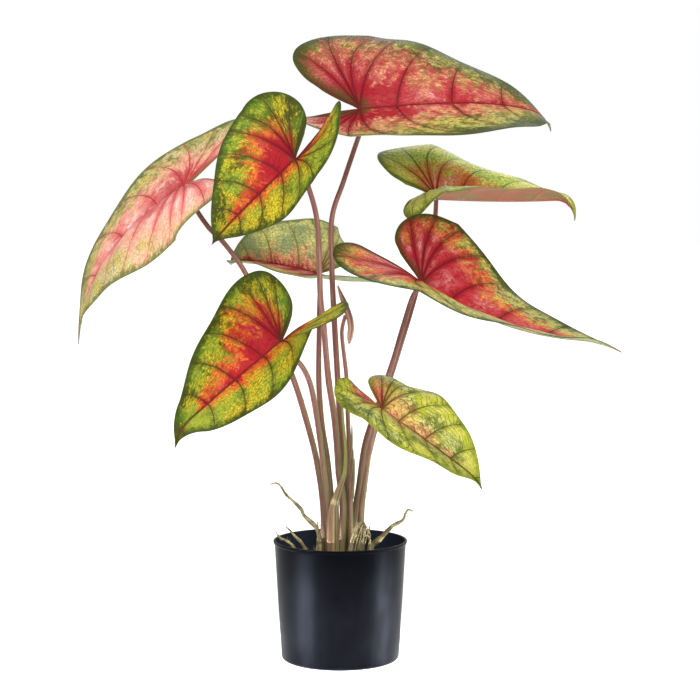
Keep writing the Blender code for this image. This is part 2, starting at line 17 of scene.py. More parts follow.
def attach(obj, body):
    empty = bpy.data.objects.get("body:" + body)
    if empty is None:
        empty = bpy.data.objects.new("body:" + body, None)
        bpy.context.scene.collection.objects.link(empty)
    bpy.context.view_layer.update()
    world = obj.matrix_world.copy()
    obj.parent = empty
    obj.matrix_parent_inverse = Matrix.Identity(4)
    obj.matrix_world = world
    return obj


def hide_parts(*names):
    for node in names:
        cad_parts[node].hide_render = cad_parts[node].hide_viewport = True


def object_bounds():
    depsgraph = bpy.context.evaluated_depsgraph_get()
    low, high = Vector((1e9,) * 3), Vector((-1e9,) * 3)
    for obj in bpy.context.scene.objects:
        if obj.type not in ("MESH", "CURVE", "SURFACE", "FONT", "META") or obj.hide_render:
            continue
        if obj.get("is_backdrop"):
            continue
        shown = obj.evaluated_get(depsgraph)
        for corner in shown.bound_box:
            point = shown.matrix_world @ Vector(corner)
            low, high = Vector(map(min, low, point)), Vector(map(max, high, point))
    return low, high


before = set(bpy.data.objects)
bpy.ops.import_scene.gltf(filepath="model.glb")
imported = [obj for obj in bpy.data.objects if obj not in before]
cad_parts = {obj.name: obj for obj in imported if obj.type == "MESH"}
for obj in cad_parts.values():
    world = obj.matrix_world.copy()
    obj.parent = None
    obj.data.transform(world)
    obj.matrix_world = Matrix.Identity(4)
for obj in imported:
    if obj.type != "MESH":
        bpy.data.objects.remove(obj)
CAD_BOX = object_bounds()

# Camera and picture
CAMERA_PLACE = (0.0093, -1.701, 0.416)
CAMERA_PITCH = 0.0708
CAMERA_LENS = 92.57
CAMERA_SENSOR = 36.0

# Pot, as in the solids
POT_TOP_RADIUS = 0.0638
POT_BASE_RADIUS = 0.0562
POT_HEIGHT = 0.114
POT_WALL = 0.0015
POT_FLOOR = 0.0025
POT_LIP = 0.0010
POT_LIP_HEIGHT = 0.0035
POT_LIP_SLOPE = 0.0010
POT_LIP_DRAFT = 0.0002
POT_LIP_CORNER = 0.0002
POT_RIM_BEVEL = 0.0007
POT_FLOOR_BEVEL = 0.0010
POT_FOOT_RADIUS = 0.0035
POT_STEPS = 192
POT_WIDENING = (POT_TOP_RADIUS - POT_LIP - POT_BASE_RADIUS) / POT_HEIGHT
SHARP_ANGLE = 40

# Soil: its plain form as in the solids, and its crumb
SOIL_EDGE_HEIGHT = 0.0880
SOIL_MOUND = 0.0030
SOIL_INSET = 0.0018
SOIL_RADIUS = POT_BASE_RADIUS + POT_WIDENING * SOIL_EDGE_HEIGHT - SOIL_INSET
SOIL_RINGS = 44
SOIL_STEPS = 120
SOIL_ROUGHNESS = 0.0016
CLOD_SCALE = 160
CLOD_SLICE = 0.3
CRUMBS = 1500
CRUMB_RADII = (0.0005, 0.0019)
BARK_RADII = (0.0010, 0.0038)
CRUMB_SEED = 11
BARK_SHARE = 0.12
CRUMB_FLATNESS = (0.45, 1.0)
CRUMB_TILT = 0.9
CRUMB_JITTER = 0.3
CRUMB_LIFT = 0.3

# Blade mesh: columns follow the ribs of one half, from the tip (0) round to the sinus (1)
VEINS = 9
COLUMNS = 14 * VEINS
ROWS = 48
BOX_MARGIN = 0.0001

# Flat outline of one half of a blade, from the tip to the sinus, in blade lengths
OUTLINE = (
    (1.000, 0.000), (0.945, 0.014), (0.875, 0.055), (0.760, 0.135), (0.600, 0.235),
    (0.420, 0.335), (0.220, 0.415), (0.020, 0.455), (-0.150, 0.435), (-0.270, 0.360),
    (-0.325, 0.250), (-0.300, 0.145), (-0.215, 0.075),
)
OUTLINE_STEPS = 12
RIB_SLANT = 0.75
RIB_BOW = 0.10
LOBE_BOW_REACH = 0.30
DROOP_GROWTH = 1.4
HOOK_START = 0.78
LOBE_REACH = 0.35
LOBE_LIMIT = 1.3
LOBE_FOLD_REACH = 0.30
LOBE_FOLD_LIMIT = 1.2
CURL_WIDTH = 0.45
SPINE_STEPS = 60
NEARLY_FLAT = 0.0001

# Blade relief and thickness
QUILT_HEIGHT = 0.0011
WAVE_HEIGHT = 0.0016
WAVES = 3.5
BLADE_PHASE = 0.37
SIDE_PHASE = 0.5
TIP_FADE = 0.16
LAMINA = 0.0005
VEIN_THICKNESS = 0.0013
MIDRIB_THICKNESS = 0.0022
VEIN_RIDGE = 0.0008
MIDRIB_RIDGE = 0.0012
VEIN_GROOVE = 0.0003
MIDRIB_GROOVE = 0.0005
VEIN_PROBE = 0.02

# One blade: where its stalk joins (metres), its pose (degrees) and its form. A pair gives the left
# and the right half, seen from above with the tip pointing away. Angles are in degrees, and the
# widths and lobe lengths are shares of those of the outline.
Blade = namedtuple(
    "Blade",
    "junction heading dip roll length width lobe_length droop sway twist hook"
    " fold curl closing lobe_drop splay lobe_fold",
)

BLADES = {
    "leaf_1": Blade(
        junction=(-0.1507, 0.0296, 0.4487), heading=160, dip=30, roll=8, length=0.205,
        width=(1.08, 1.02), lobe_length=(0.91, 1.13), droop=52, sway=-3, twist=8, hook=0,
        fold=(5, 31), curl=(-62, -2), closing=(-22, 2), lobe_drop=(64, -9), splay=(4, -1),
        lobe_fold=(9, -6),
    ),
    "leaf_2": Blade(
        junction=(-0.0403, -0.0894, 0.4720), heading=189, dip=45, roll=53, length=0.111,
        width=(0.95, 1.34), lobe_length=(1.56, 0.87), droop=29, sway=-16, twist=18, hook=7,
        fold=(29, 31), curl=(0, -23), closing=(-50, 7), lobe_drop=(0, 23), splay=(-23, 1),
        lobe_fold=(10, 26),
    ),
    "leaf_3": Blade(
        junction=(0.0187, 0.0296, 0.5247), heading=-8, dip=-3, roll=-46, length=0.223,
        width=(1.32, 1.03), lobe_length=(0.72, 0.97), droop=56, sway=35, twist=0, hook=25,
        fold=(15, 7), curl=(-35, 41), closing=(-9, -9), lobe_drop=(-26, -15), splay=(-22, -2),
        lobe_fold=(2, 13),
    ),
    "leaf_4": Blade(
        junction=(0.0964, 0.1194, 0.4412), heading=3, dip=3, roll=-1, length=0.153,
        width=(1.38, 1.04), lobe_length=(0.86, 0.93), droop=-7, sway=-24, twist=10, hook=97,
        fold=(65, 27), curl=(-42, -41), closing=(-39, -6), lobe_drop=(14, 48), splay=(-20, 10),
        lobe_fold=(-2, -26),
    ),
    "leaf_5": Blade(
        junction=(0.0773, -0.0097, 0.3600), heading=-3, dip=32, roll=-23, length=0.201,
        width=(1.03, 1.04), lobe_length=(0.76, 1.12), droop=-37, sway=13, twist=10, hook=38,
        fold=(25, 27), curl=(-8, -15), closing=(-31, -1), lobe_drop=(-9, -7), splay=(1, -14),
        lobe_fold=(-6, -20),
    ),
    "leaf_6": Blade(
        junction=(-0.0230, 0.0851, 0.3657), heading=166, dip=-13, roll=67, length=0.126,
        width=(0.99, 1.17), lobe_length=(1.16, 0.89), droop=63, sway=-4, twist=4, hook=5,
        fold=(56, 20), curl=(18, -64), closing=(10, 24), lobe_drop=(32, 22), splay=(-11, 29),
        lobe_fold=(16, -18),
    ),
    "leaf_7": Blade(
        junction=(-0.0519, -0.1094, 0.3110), heading=213, dip=34, roll=14, length=0.142,
        width=(1.07, 1.09), lobe_length=(1.13, 0.80), droop=0, sway=4, twist=17, hook=49,
        fold=(24, 47), curl=(7, 48), closing=(-55, 3), lobe_drop=(0, -6), splay=(-8, -4),
        lobe_fold=(-8, -4),
    ),
    "leaf_8": Blade(
        junction=(0.0383, -0.0846, 0.2481), heading=-17, dip=34, roll=-30, length=0.119,
        width=(1.20, 1.01), lobe_length=(0.86, 1.08), droop=21, sway=16, twist=-12, hook=20,
        fold=(23, 41), curl=(-57, -31), closing=(26, -7), lobe_drop=(7, -28), splay=(6, -16),
        lobe_fold=(-10, -9),
    ),
}

# What the leaf shader needs at a point. In metres: its distance from the margin, the midrib, the
# junction and its side vein, and its reach along its rib. As shares: the way between its vein and
# the next ridge, the way out along its rib, and how far past the heart it lies. half is 1 on the
# right. The places are flat, on the flattened blade, and ribs, round the blade and along its ribs.
Facts = namedtuple("Facts", "margin midrib junction vein between reach out past_heart half")
LEAF_PLACES = ("flat", "ribs")

# Stalks
WELD = 0.00001
CURVE_STEPS = 8
STALK_APPROACH = 0.020
JOINT_GAP = 0.0028
STALK_STEP = 0.0016
STEM_SIDES = 24
STALK_RIDGES = (0.025, 0.015)
STALK_UNEVENNESS = 0.04
RING_COLLAR = 0.08
RING_WIDTH = 0.004
RING_HEIGHTS = {"leaf_1": (0.2451,), "leaf_2": (0.2669, 0.1788), "leaf_8": (0.1637,)}
SHOOT_SEED = 11

# Furled leaf, old sheath and its torn tips
SHAPED_STEPS = 8
FURLED_SIDES = 36
ROLLED_EDGE = 0.14
SHEATH_SIDES = 40
SHEATH_KNUCKLE = 0.42
KNUCKLE_LENGTH = 0.03
TIP_SIDES = 12
TIP_STEP = 0.0008
TIP_BOW = (0.0004, -0.0004, 0)
TIP_LEAST_RADIUS = 0.00012
SHEATH_TIPS = (
    ((0.0098, -0.0112, 0.190), (0.0112, -0.0118, 0.229), 0.0020),
    ((0.0102, -0.0110, 0.172), (0.0124, -0.0116, 0.203), 0.0022),
    ((0.0108, -0.0108, 0.155), (0.0136, -0.0112, 0.194), 0.0024),
)

# Roots
ROOT_STEP = 0.0010
ROOT_SIDES = 16
ROOT_KNOTS = 0.30
ROOT_WRINKLES = 0.16
ROOT_LEAST_RADIUS = 0.0003
ROOT_SEED = 5
ROOT_HAIRS = {
    "root_left_long": 10, "root_left_middle": 6, "root_left_front": 8, "root_right_long": 10,
    "root_loop": 10, "root_left_hair": 14, "root_right_hair": 14,
}
HAIR_LENGTHS = (0.003, 0.008)
HAIR_RADIUS = 0.00022
HAIR_STEP = 0.001
HAIR_SIDES = 6
LOOP_STRANDS = (
    (0.0030, -0.0030, -0.0012), (0.0052, -0.0012, -0.0075), (-0.0022, -0.0030, -0.0030),
    (0.0012, -0.0036, 0.0022), (0.0050, -0.0030, -0.0120),
)
STRAND_RADIUS = 0.0007
STRAND_WANDER = 0.0009
STRAND_SIDES = 10

# A stem has points from its foot upwards, and a radius at its foot and at its end. It tapers evenly
# at a taper of 1, mostly near its end at a higher one and near its foot at a lower one. The routes
# are in millimetres.
Stem = namedtuple("Stem", "route foot_radius end_radius taper")
STANDING_HEIGHTS = (74, 95)
ROOT_TAPER = 2.2
FLARED_TAPER = 0.5


def metres(points):
    """Points in metres from points in millimetres."""
    return tuple(tuple(value / 1000 for value in point) for point in points)


def measured_stem(route, foot_radius, end_radius, taper):
    """A stem in metres from measures in millimetres."""
    return Stem(metres(route), foot_radius / 1000, end_radius / 1000, taper)


def stalk(foot, *bends, foot_radius=3.4, end_radius=2.3, taper=1.0):
    """A leaf stalk that stands upright in the soil at foot and passes through the bends."""
    standing = [(*foot, height) for height in STANDING_HEIGHTS]
    return measured_stem((*standing, *bends), foot_radius, end_radius, taper)


def bare_root(foot_radius, end_radius, *route):
    """A root that thins mostly near its end."""
    return measured_stem(route, foot_radius, end_radius, ROOT_TAPER)


STALKS = {
    "leaf_1": stalk(
        (-16.5, 3), (-16, 2, 142), (-22, 5, 186), (-32, 8, 226), (-46, 12, 270), (-67, 17, 318),
        (-91, 22, 368), (-112, 25, 397), (-126, 27, 411),
    ),
    "leaf_2": stalk(
        (0, -6), (3, -5, 143), (-1, -7, 179), (-5, -11, 228), (-11, -17, 270), (-15, -27, 318),
        (-18, -36, 347), (-19, -49, 385), (-21, -62, 420), (-28, -70, 447), foot_radius=4.6,
        taper=FLARED_TAPER,
    ),
    "leaf_3": stalk(
        (3, 5), (6, 6, 150), (4, 8, 186), (0, 10, 226), (-3, 14, 277), (-6, 18, 329),
        (-8, 23, 374), (-8, 28, 420), (3, 36, 455), (14, 42, 488),
    ),
    "leaf_4": stalk(
        (15, 11.5), (18, 12, 136), (27, 15, 193), (43, 26, 250), (66, 51, 321), (83, 81, 377),
        (93, 112, 408),
    ),
    "leaf_5": stalk(
        (12.5, 0), (13, 0, 130), (18, 1, 166), (24, 0, 207), (37, 0, 246), (50, -1, 285),
        (59, -1, 316),
    ),
    "leaf_6": stalk(
        (-6.5, 9.5), (-8, 10, 141), (-12, 14, 185), (-18, 22, 224), (-21, 36, 264), (-21, 62, 311),
        (-21, 88, 340),
    ),
    "leaf_7": stalk(
        (-12, -7.5), (-12, -8, 144), (-16, -18, 189), (-21, -36, 231), (-27, -58, 268),
        (-36, -82, 289),
    ),
    "leaf_8": stalk(
        (20, -9), (20, -10, 140), (23, -20, 170), (27, -40, 203), (30, -57, 222),
    ),
}
YOUNG_SHOOT = stalk(
    (9.5, -10.5), (10, -10, 144), (9, -10, 188), (7, -11, 238), (6, -11, 270), (2, -12, 306),
    (2, -12, 317), (5, -12, 329), foot_radius=2.8, end_radius=1.8,
)
ROOTS = {
    "root_left_long": bare_root(
        2.6, 0.6, (-21.5, -11, 78), (-20.5, -11.5, 96), (-19.2, -12, 113), (-22.5, -12, 127),
        (-34, -12, 139), (-38, -12, 146.5), (-51, -12, 159), (-55.5, -12, 166), (-60, -12, 170),
        (-66.4, -12, 168.8),
    ),
    "root_left_middle": bare_root(
        2.4, 0.6, (-25.5, -17, 80), (-30, -17.8, 100), (-36, -18, 113.5), (-42.4, -18, 120.1),
        (-47.2, -18, 125.8), (-51.4, -18, 129.7),
    ),
    "root_left_front": bare_root(
        2.1, 0.5, (-33, -24, 79), (-38.5, -24.2, 100), (-44, -24, 111.5), (-50.7, -24, 117.3),
        (-57.5, -24, 121), (-60.7, -24, 126.4),
    ),
    "root_right_long": bare_root(
        3.3, 0.6, (27, -16.5, 79), (27.5, -15.5, 97), (30, -14, 110), (38, -14, 117.5),
        (49, -14, 129), (59, -14, 135), (61.5, -14, 141), (64.5, -14, 145), (68.9, -14, 143.5),
    ),
    "root_loop": bare_root(
        2.5, 1.8, (6.5, -27, 78), (8, -26.5, 100), (12, -26, 120), (15.8, -26, 130),
        (19.2, -26, 134.5), (22.2, -26, 133), (22.6, -26, 127), (20.5, -26, 115), (18.5, -26, 106),
        (18, -26, 96),
    ),
    "root_left_hair": bare_root(
        1.1, 0.5, (-24, -23.5, 80), (-22.5, -23, 100), (-21.5, -22, 115), (-20.5, -22, 126),
        (-21.5, -22, 135),
    ),
    "root_right_hair": bare_root(
        1.1, 0.5, (31, -24, 80), (29.5, -23.5, 100), (28, -23, 113), (27, -22, 123),
        (28, -22, 131),
    ),
}

# Knots of the furled leaf and of the dry sheath, which is wide below its knuckle and a thin
# strip above: x, y, z and radius in millimetres
FURLED_LEAF = metres((
    (-2.2, 4, 356, 0.8), (0.6, -2, 348, 2), (3.5, -8, 341, 2.9), (6.2, -12, 334, 3.1),
    (9.2, -14, 324.9, 3.1), (10.1, -14, 316.9, 3), (9.2, -14, 308.8, 2.7), (8.6, -14, 302.3, 1.2),
))
OLD_SHEATH = metres((
    (-7, -20, 74, 5.8), (-7, -20, 95, 5.8), (-7, -20, 118, 6.2), (-6.8, -20, 136, 6),
    (-6.2, -19.5, 146, 5.1), (-5, -19, 153, 4.2), (-2.6, -18.7, 160, 3.7), (-0.3, -18.5, 167, 3),
    (3, -18.7, 176, 2.2), (4.8, -19, 185, 1.8), (5, -18, 206, 1.4), (3, -18, 230, 1.1),
    (2, -18, 248, 0.8),
))

# Studio: a softbox is its name, place, target, size, power and spread

FLOOR_CORNERS = ((-30, -30), (30, -30), (30, 30), (-30, 30))
FLOOR_GLOW = 0.42
WORLD_LIGHT = 0.25
WHITE = (1, 1, 1, 1)
SUN_POWER = 2.7
SUN_SOFTNESS = 0.8
SUN_TURN = (0.62, -0.18, 0.0)
SOFTBOXES = (
    ("left_strip", (-1.00, -0.50, 0.06), (0.0, 0.0, 0.03), (0.24, 0.06), 1.6, 0.16),
    ("right_strip", (1.08, -0.20, 0.06), (0.0, 0.0, 0.03), (0.10, 0.06), 1.05, 0.16),
    ("front_fill", (0.9, -2.2, 1.3), (0.0, 0.0, 0.35), (1.2, 1.0), 26, 2.6),
    ("back_fill", (0.4, 2.2, 1.4), (0.0, 0.0, 0.35), (1.6, 1.2), 10, 2.6),
)


def tint(red, green, blue):
    """A linear colour from screen values of 0 to 255."""
    shares = [value / 255 for value in (red, green, blue)]
    linear = [s / 12.92 if s <= 0.04045 else ((s + 0.055) / 1.055) ** 2.4 for s in shares]
    return (*linear, 1.0)


# Colours
DEEP_RED = tint(150, 22, 32)
RED = tint(192, 44, 34)
CRIMSON = tint(178, 50, 56)
DULL_RED = tint(168, 76, 74)
ROSE = tint(186, 72, 74)
CORAL = tint(242, 146, 134)
# Partly the leaf's own pale blush, partly a highlight painted on the crests between the veins
BLUSH_AND_HIGHLIGHT = tint(255, 218, 208)
ORANGE = tint(228, 112, 48)
PEACH = tint(226, 158, 118)
PINK_CREAM = tint(244, 190, 160)
APRICOT = tint(236, 138, 84)
YELLOW = tint(204, 182, 44)
PALE_YELLOW = tint(220, 210, 130)
GOLD = tint(212, 196, 100)
BRIGHT_YELLOW = tint(255, 246, 132)
LIME = tint(160, 166, 50)
BRIGHT_LIME = tint(228, 242, 112)
PALE_LIME = tint(190, 192, 112)
CREAM = tint(222, 208, 156)
OLIVE = tint(100, 106, 40)
DARK_OLIVE = tint(62, 74, 20)
LEAF_GREEN = tint(84, 112, 30)
DARK_GREEN = tint(40, 64, 22)
GREY_GREEN = tint(106, 124, 78)
SAGE = tint(150, 160, 118)
MAROON = tint(96, 18, 28)
BROWN_GREEN = tint(62, 54, 24)
PINK_GREY = tint(188, 142, 130)
DUSKY_PINK = tint(158, 98, 78)
STALK_MAUVE = tint(124, 77, 70)
STALK_OLIVE = tint(142, 137, 92)
STALK_TAN = tint(186, 153, 130)
STALK_DARK = tint(74, 38, 40)
SHEATH_GREEN = tint(138, 138, 84)
SHEATH_BROWN = tint(120, 84, 62)
ROOT_PALE = tint(168, 156, 118)
ROOT_DARK = tint(104, 94, 66)
ROOT_BROWN = tint(70, 54, 34)
SOIL_DARK = tint(26, 20, 16)
SOIL_BROWN = tint(50, 38, 28)
SOIL_PALE = tint(92, 74, 54)
POT_DARK = tint(3, 3, 4)
POT_DUSTY = tint(6, 7, 9)
POT_SPECK = tint(30, 34, 42)
# Painted light: the pot's inside, paler and bluer than its dark plastic, as if lit
POT_INNER_LIT = tint(48, 54, 68)
POT_SHEEN = tint(205, 220, 255)
FLOOR_PALE = tint(246, 246, 245)
FLOOR_PALER = tint(250, 250, 249)

# Colours of one leaf. deep lies round the junction, along the veins and as far as deep_reach metres;
# heart fills the coloured middle and halo rims it; light and fresh are the cells of the ground and
# dark and shade the net between them; edge is the band of edge_width metres along the margin; inner
# and outer are the veins near and far from the junction; under is the lower face. band is how dark
# it is beside the veins: painted shade, as if the sunken veins lay in shadow. heart_reach says
# for the left and the right half how far the heart reaches along the ribs, from the tip round to
# the sinus. The rest are shares: halo_spread is the halo's width and feather the raggedness of its
# edges, lightness is how light the ground of the left and the right half is, wash
# how pale the heart's crests are (partly their own pale blush, partly a painted highlight), and
# veining how plain the finest veins.
Look = namedtuple(
    "Look",
    "deep heart halo light fresh dark shade edge inner outer under deep_reach edge_width band"
    " heart_reach halo_spread feather lightness wash veining",
)
USUAL_LOOK = Look(
    deep=DEEP_RED, heart=RED, halo=ORANGE, light=YELLOW, fresh=LIME, dark=DARK_OLIVE,
    shade=LEAF_GREEN, edge=DARK_GREEN, inner=MAROON, outer=BROWN_GREEN, under=SAGE,
    deep_reach=0.050, edge_width=0.004, band=0.5,
    heart_reach=((-0.3, 0.02, 0.08, 0.14, 0.62), (-0.3, 0.16, 0.55, 0.26, 0.05)),
    halo_spread=0.36, feather=0.9, lightness=(1.00, 0.58), wash=0.3, veining=0.50,
)
LOOKS = {
    "leaf_1": USUAL_LOOK._replace(
        deep=CRIMSON, heart=CORAL, halo=PINK_CREAM, light=CREAM, fresh=GOLD, dark=LEAF_GREEN,
        shade=GREY_GREEN, edge=GREY_GREEN, inner=CRIMSON, outer=DULL_RED, edge_width=0.005,
        band=0.14, heart_reach=((-0.20, 0.32, 0.68, 0.84, 0.95), (-0.25, 0.38, 0.44, 0.34, 0.90)),
        halo_spread=0.40, feather=1.0, lightness=(1.40, 0.72), wash=3.0, veining=0.25,
    ),
    "leaf_2": USUAL_LOOK,
    "leaf_3": USUAL_LOOK._replace(
        heart=ROSE, halo=PEACH, light=PALE_LIME, fresh=GOLD, shade=OLIVE, edge_width=0.011,
        band=0.45, heart_reach=((-0.1, 0.26, 0.48, 0.66, 0.88), (-0.1, 0.10, 0.32, 0.60, 0.80)),
        halo_spread=0.46, feather=1.0, lightness=(0.34, 0.62), wash=0.5,
    ),
    "leaf_4": USUAL_LOOK._replace(
        deep=RED, heart=ORANGE, halo=APRICOT, light=BRIGHT_YELLOW, fresh=BRIGHT_LIME, dark=LIME,
        inner=DEEP_RED, outer=LEAF_GREEN, under=DUSKY_PINK, deep_reach=0.010, edge_width=0.005,
        band=0.2, heart_reach=((-0.1, 0.14, 0.34, 0.26, 0.30), (-0.1, 0.05, 0.15, 0.05, 0.10)),
        halo_spread=0.30, feather=0.8, lightness=(1.8, 1.3), wash=2.0, veining=0.25,
    ),
    "leaf_5": USUAL_LOOK._replace(
        heart=CRIMSON, light=PALE_LIME, fresh=GOLD, shade=OLIVE, deep_reach=0.030,
        edge_width=0.006, halo_spread=0.30, feather=1.0, lightness=(0.75, 1.0), wash=0.6,
        heart_reach=((-0.1, 0.34, 0.66, 0.80, 0.95), (-0.1, 0.04, 0.20, 0.72, 0.85)), veining=0.58,
    ),
    "leaf_6": USUAL_LOOK._replace(
        deep=CRIMSON, heart=DULL_RED, halo=PEACH, light=PALE_YELLOW, fresh=SAGE, dark=GREY_GREEN,
        shade=OLIVE, edge=GREY_GREEN, outer=OLIVE, deep_reach=0.014, band=0.35,
        heart_reach=((0.2, 0.45, 0.50, 0.45, 0.6), (0.0, 0.08, 0.12, 0.05, 0.1)),
        lightness=(1.20, 1.20), wash=0.8, veining=0.58,
    ),
    "leaf_7": USUAL_LOOK._replace(
        deep_reach=0.055, edge_width=0.005, halo_spread=0.34, lightness=(1.10, 0.72),
        heart_reach=((-0.3, 0.02, 0.08, 0.14, 0.58), (-0.3, 0.20, 0.54, 0.28, 0.08)),
    ),
    "leaf_8": USUAL_LOOK._replace(
        deep=CRIMSON, heart=ROSE, halo=PEACH, light=PALE_LIME, fresh=GOLD, dark=OLIVE, shade=LIME,
        edge=LIME, outer=DARK_OLIVE, deep_reach=0.012, edge_width=0.0035, band=0.35,
        heart_reach=2 * ((-0.4, -0.20, 0.02, 0.20, 0.8),), halo_spread=0.50, feather=0.7,
        lightness=(0.60, 0.60), wash=0.5, veining=0.80,
    ),
}

# Leaf looks: scales are cells a metre, and a triple is how far a pattern is drawn out along the ribs
BROAD_SCALE = 42
SHADE_SCALE = 70
WOBBLE_SCALE = 90
PATCH_SCALE = 150
RAGGED_SCALE = 330
SPECK_SCALE = 380
NET_SCALE = 520
FINE_SCALE = 800
PLACE_WARP = (120, 0.004)
RIBS_WARP = (2.0, 0.25)
STREAKS = (9.0, 0.45, 1.0)
SOFT_STREAKS = (7.0, 1.3, 1.0)
BRUSHED = (14.0, 0.8, 1.0)
CELLS_IN_RIBS = (11.0, 1.5, 1.0)
BRANCH_SPACING = 0.0062
BRANCH_SLANT = 1.1
BRANCH_WOBBLE = 2.2
GROUND_LIFT = 0.35
VEIN_WIDTH = 0.0014
VEIN_NARROWING = 0.0009


# Helpers for numbers and points


def catmull_rom(points, steps):
    """Points along the smooth curve through the given ones, with this many steps to each span."""
    knots = [Vector(point) for point in points]
    knots = [2 * knots[0] - knots[1]] + knots + [2 * knots[-1] - knots[-2]]
    curve = []
    for before, start, end, after in zip(knots, knots[1:], knots[2:], knots[3:]):
        for step in range(steps):
            t = step / steps
            curve.append(
                0.5 * (
                    2 * start
                    + (end - before) * t
                    + (2 * before - 5 * start + 4 * end - after) * t**2
                    + (3 * start - before - 3 * end + after) * t**3
                )
            )
    return curve + [knots[-2]]


def evenly(points, count):
    """Points at count equal steps of length along a polyline."""
    lengths = [0.0]
    for start, end in zip(points, points[1:]):
        lengths.append(lengths[-1] + (end - start).length)
    even = []
    span = 0
    for step in range(count + 1):
        target = lengths[-1] * step / count
        while span < len(points) - 2 and lengths[span + 1] < target:
            span += 1
        share = (target - lengths[span]) / (lengths[span + 1] - lengths[span])
        even.append(points[span].lerp(points[span + 1], min(share, 1.0)))
    return even


def bell(distance, width):
    """A smooth bump: 1 in its middle, and hardly anything past twice its width."""
    return exp(-((distance / width) ** 2))


def ride_for(piece, node):
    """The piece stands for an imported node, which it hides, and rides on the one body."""
    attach(piece, "root")
    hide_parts(node)


def ride_free(piece):
    """An added detail, which rides on the one body."""
    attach(piece, "root")


def add_to_scene(name, data):
    """An object with this mesh, light or camera in the scene."""
    made = bpy.data.objects.new(name, data)
    bpy.context.scene.collection.objects.link(made)
    return made


def add_object(name, shape, *materials):
    """A smooth object in the scene from a bmesh, which is then used up."""
    mesh = bpy.data.meshes.new(name)
    shape.to_mesh(mesh)
    shape.free()
    for material in materials:
        mesh.materials.append(material)
    mesh.shade_smooth()
    return add_to_scene(name, mesh)


# Shader nodes


MIX_FIRST, MIX_SECOND, MIX_RESULT = 6, 7, 2


def feed(tree, socket, value):
    """Links a node's value to the socket, or sets the socket to a number, colour or place."""
    if isinstance(value, Value):
        tree.links.new(value.socket, socket)
    else:
        socket.default_value = value


def add_node(tree, kind, output, inputs, **settings):
    """A new node with its settings and inputs, as the value at one of its outputs."""
    node = tree.nodes.new(f"ShaderNode{kind}")
    for name, setting in settings.items():
        setattr(node, name, setting)
    for name, value in inputs.items():
        feed(tree, node.inputs[name], value)
    return Value(tree, node.outputs[output])


class Value:
    """A number, colour or place that a node gives. What is done with it adds the nodes for that."""

    def __init__(self, tree, socket):
        self.tree = tree
        self.socket = socket

    def math(self, operation, *others):
        """One step of arithmetic."""
        inputs = dict(enumerate((self, *others)))
        return add_node(self.tree, "Math", "Value", inputs, operation=operation)

    def __add__(self, other):
        return self.math("ADD", other)

    def __sub__(self, other):
        return self.math("SUBTRACT", other)

    def __mul__(self, other):
        return self.math("MULTIPLY", other)

    def __truediv__(self, other):
        return self.math("DIVIDE", other)

    def larger(self, other):
        """The larger of two numbers."""
        return self.math("MAXIMUM", other)

    def smaller(self, other):
        """The smaller of two numbers."""
        return self.math("MINIMUM", other)

    def fade(self, start, end, low=0.0, high=1.0):
        """low up to start, high from end on, and smooth between them."""
        inputs = {"Value": self, "From Min": start, "From Max": end, "To Min": low, "To Max": high}
        return add_node(self.tree, "MapRange", "Result", inputs, interpolation_type="SMOOTHSTEP")

    def mix(self, first, second):
        """The colour that lies this share of the way from the first to the second."""
        inputs = {0: self, MIX_FIRST: first, MIX_SECOND: second}
        return add_node(self.tree, "Mix", MIX_RESULT, inputs, data_type="RGBA")

    def vector(self, operation, *others, output="Vector"):
        """One step of arithmetic on a place."""
        inputs = dict(enumerate((self, *others)))
        return add_node(self.tree, "VectorMath", output, inputs, operation=operation)

    def stretched(self, *amounts):
        """A place scaled by a different amount along each axis."""
        return self.vector("MULTIPLY", amounts)

    def warped(self, scale, amount):
        """A place moved a little by noise, so that patterns on it look grown."""
        shift = self.noise(scale, output="Color").vector("SUBTRACT", (0.5, 0.5, 0.5))
        return shift.vector("MULTIPLY_ADD", (amount, amount, amount), self)

    def along(self, axis):
        """A place's coordinate along an axis."""
        return add_node(self.tree, "SeparateXYZ", axis, {0: self})

    def noise(self, scale=1.0, detail=2.0, output="Fac"):
        """Soft noise from 0 to 1 at a place."""
        inputs = {"Vector": self, "Scale": scale, "Detail": detail}
        return add_node(self.tree, "TexNoise", output, inputs)

    def cells(self, scale=1.0, feature="DISTANCE_TO_EDGE"):
        """Distances in a pattern of cells, like those between fine veins."""
        inputs = {"Vector": self, "Scale": scale}
        return add_node(self.tree, "TexVoronoi", "Distance", inputs, feature=feature)


class Surface:
    """A material with one Principled shader."""

    def __init__(self, name, specular):
        self.material = bpy.data.materials.new(name)
        self.material.use_nodes = True
        self.tree = self.material.node_tree
        self.inputs = self.tree.nodes["Principled BSDF"].inputs
        self.set("Specular IOR Level", specular)

    def set(self, name, value):
        """Sets one input of the shader."""
        feed(self.tree, self.inputs[name], value)

    def attribute(self, name, output="Fac"):
        """A number or place that the mesh carries at its points."""
        return add_node(self.tree, "Attribute", output, {}, attribute_name=name)

    def place(self):
        """Where a point lies in the object, in metres."""
        return add_node(self.tree, "TexCoord", "Object", {})

    def finished(self, colour, roughness, relief=None):
        """The material; its relief is a height of 0 to 1, a distance in metres and a strength."""
        self.set("Base Color", colour)
        self.set("Roughness", roughness)
        if relief:
            inputs = dict(zip(("Height", "Distance", "Strength"), relief))
            self.set("Normal", add_node(self.tree, "Bump", "Normal", inputs))
        return self.material


# Blades


def turn(yaw, pitch, roll):
    """Turns by degrees: to the left by yaw, nose down by pitch, right side down by roll."""
    return (
        Matrix.Rotation(radians(yaw), 3, "Z")
        @ Matrix.Rotation(radians(pitch), 3, "Y")
        @ Matrix.Rotation(radians(-roll), 3, "X")
    )


def limited(value, low, high):
    """The value kept between two limits."""
    return max(low, min(high, value))


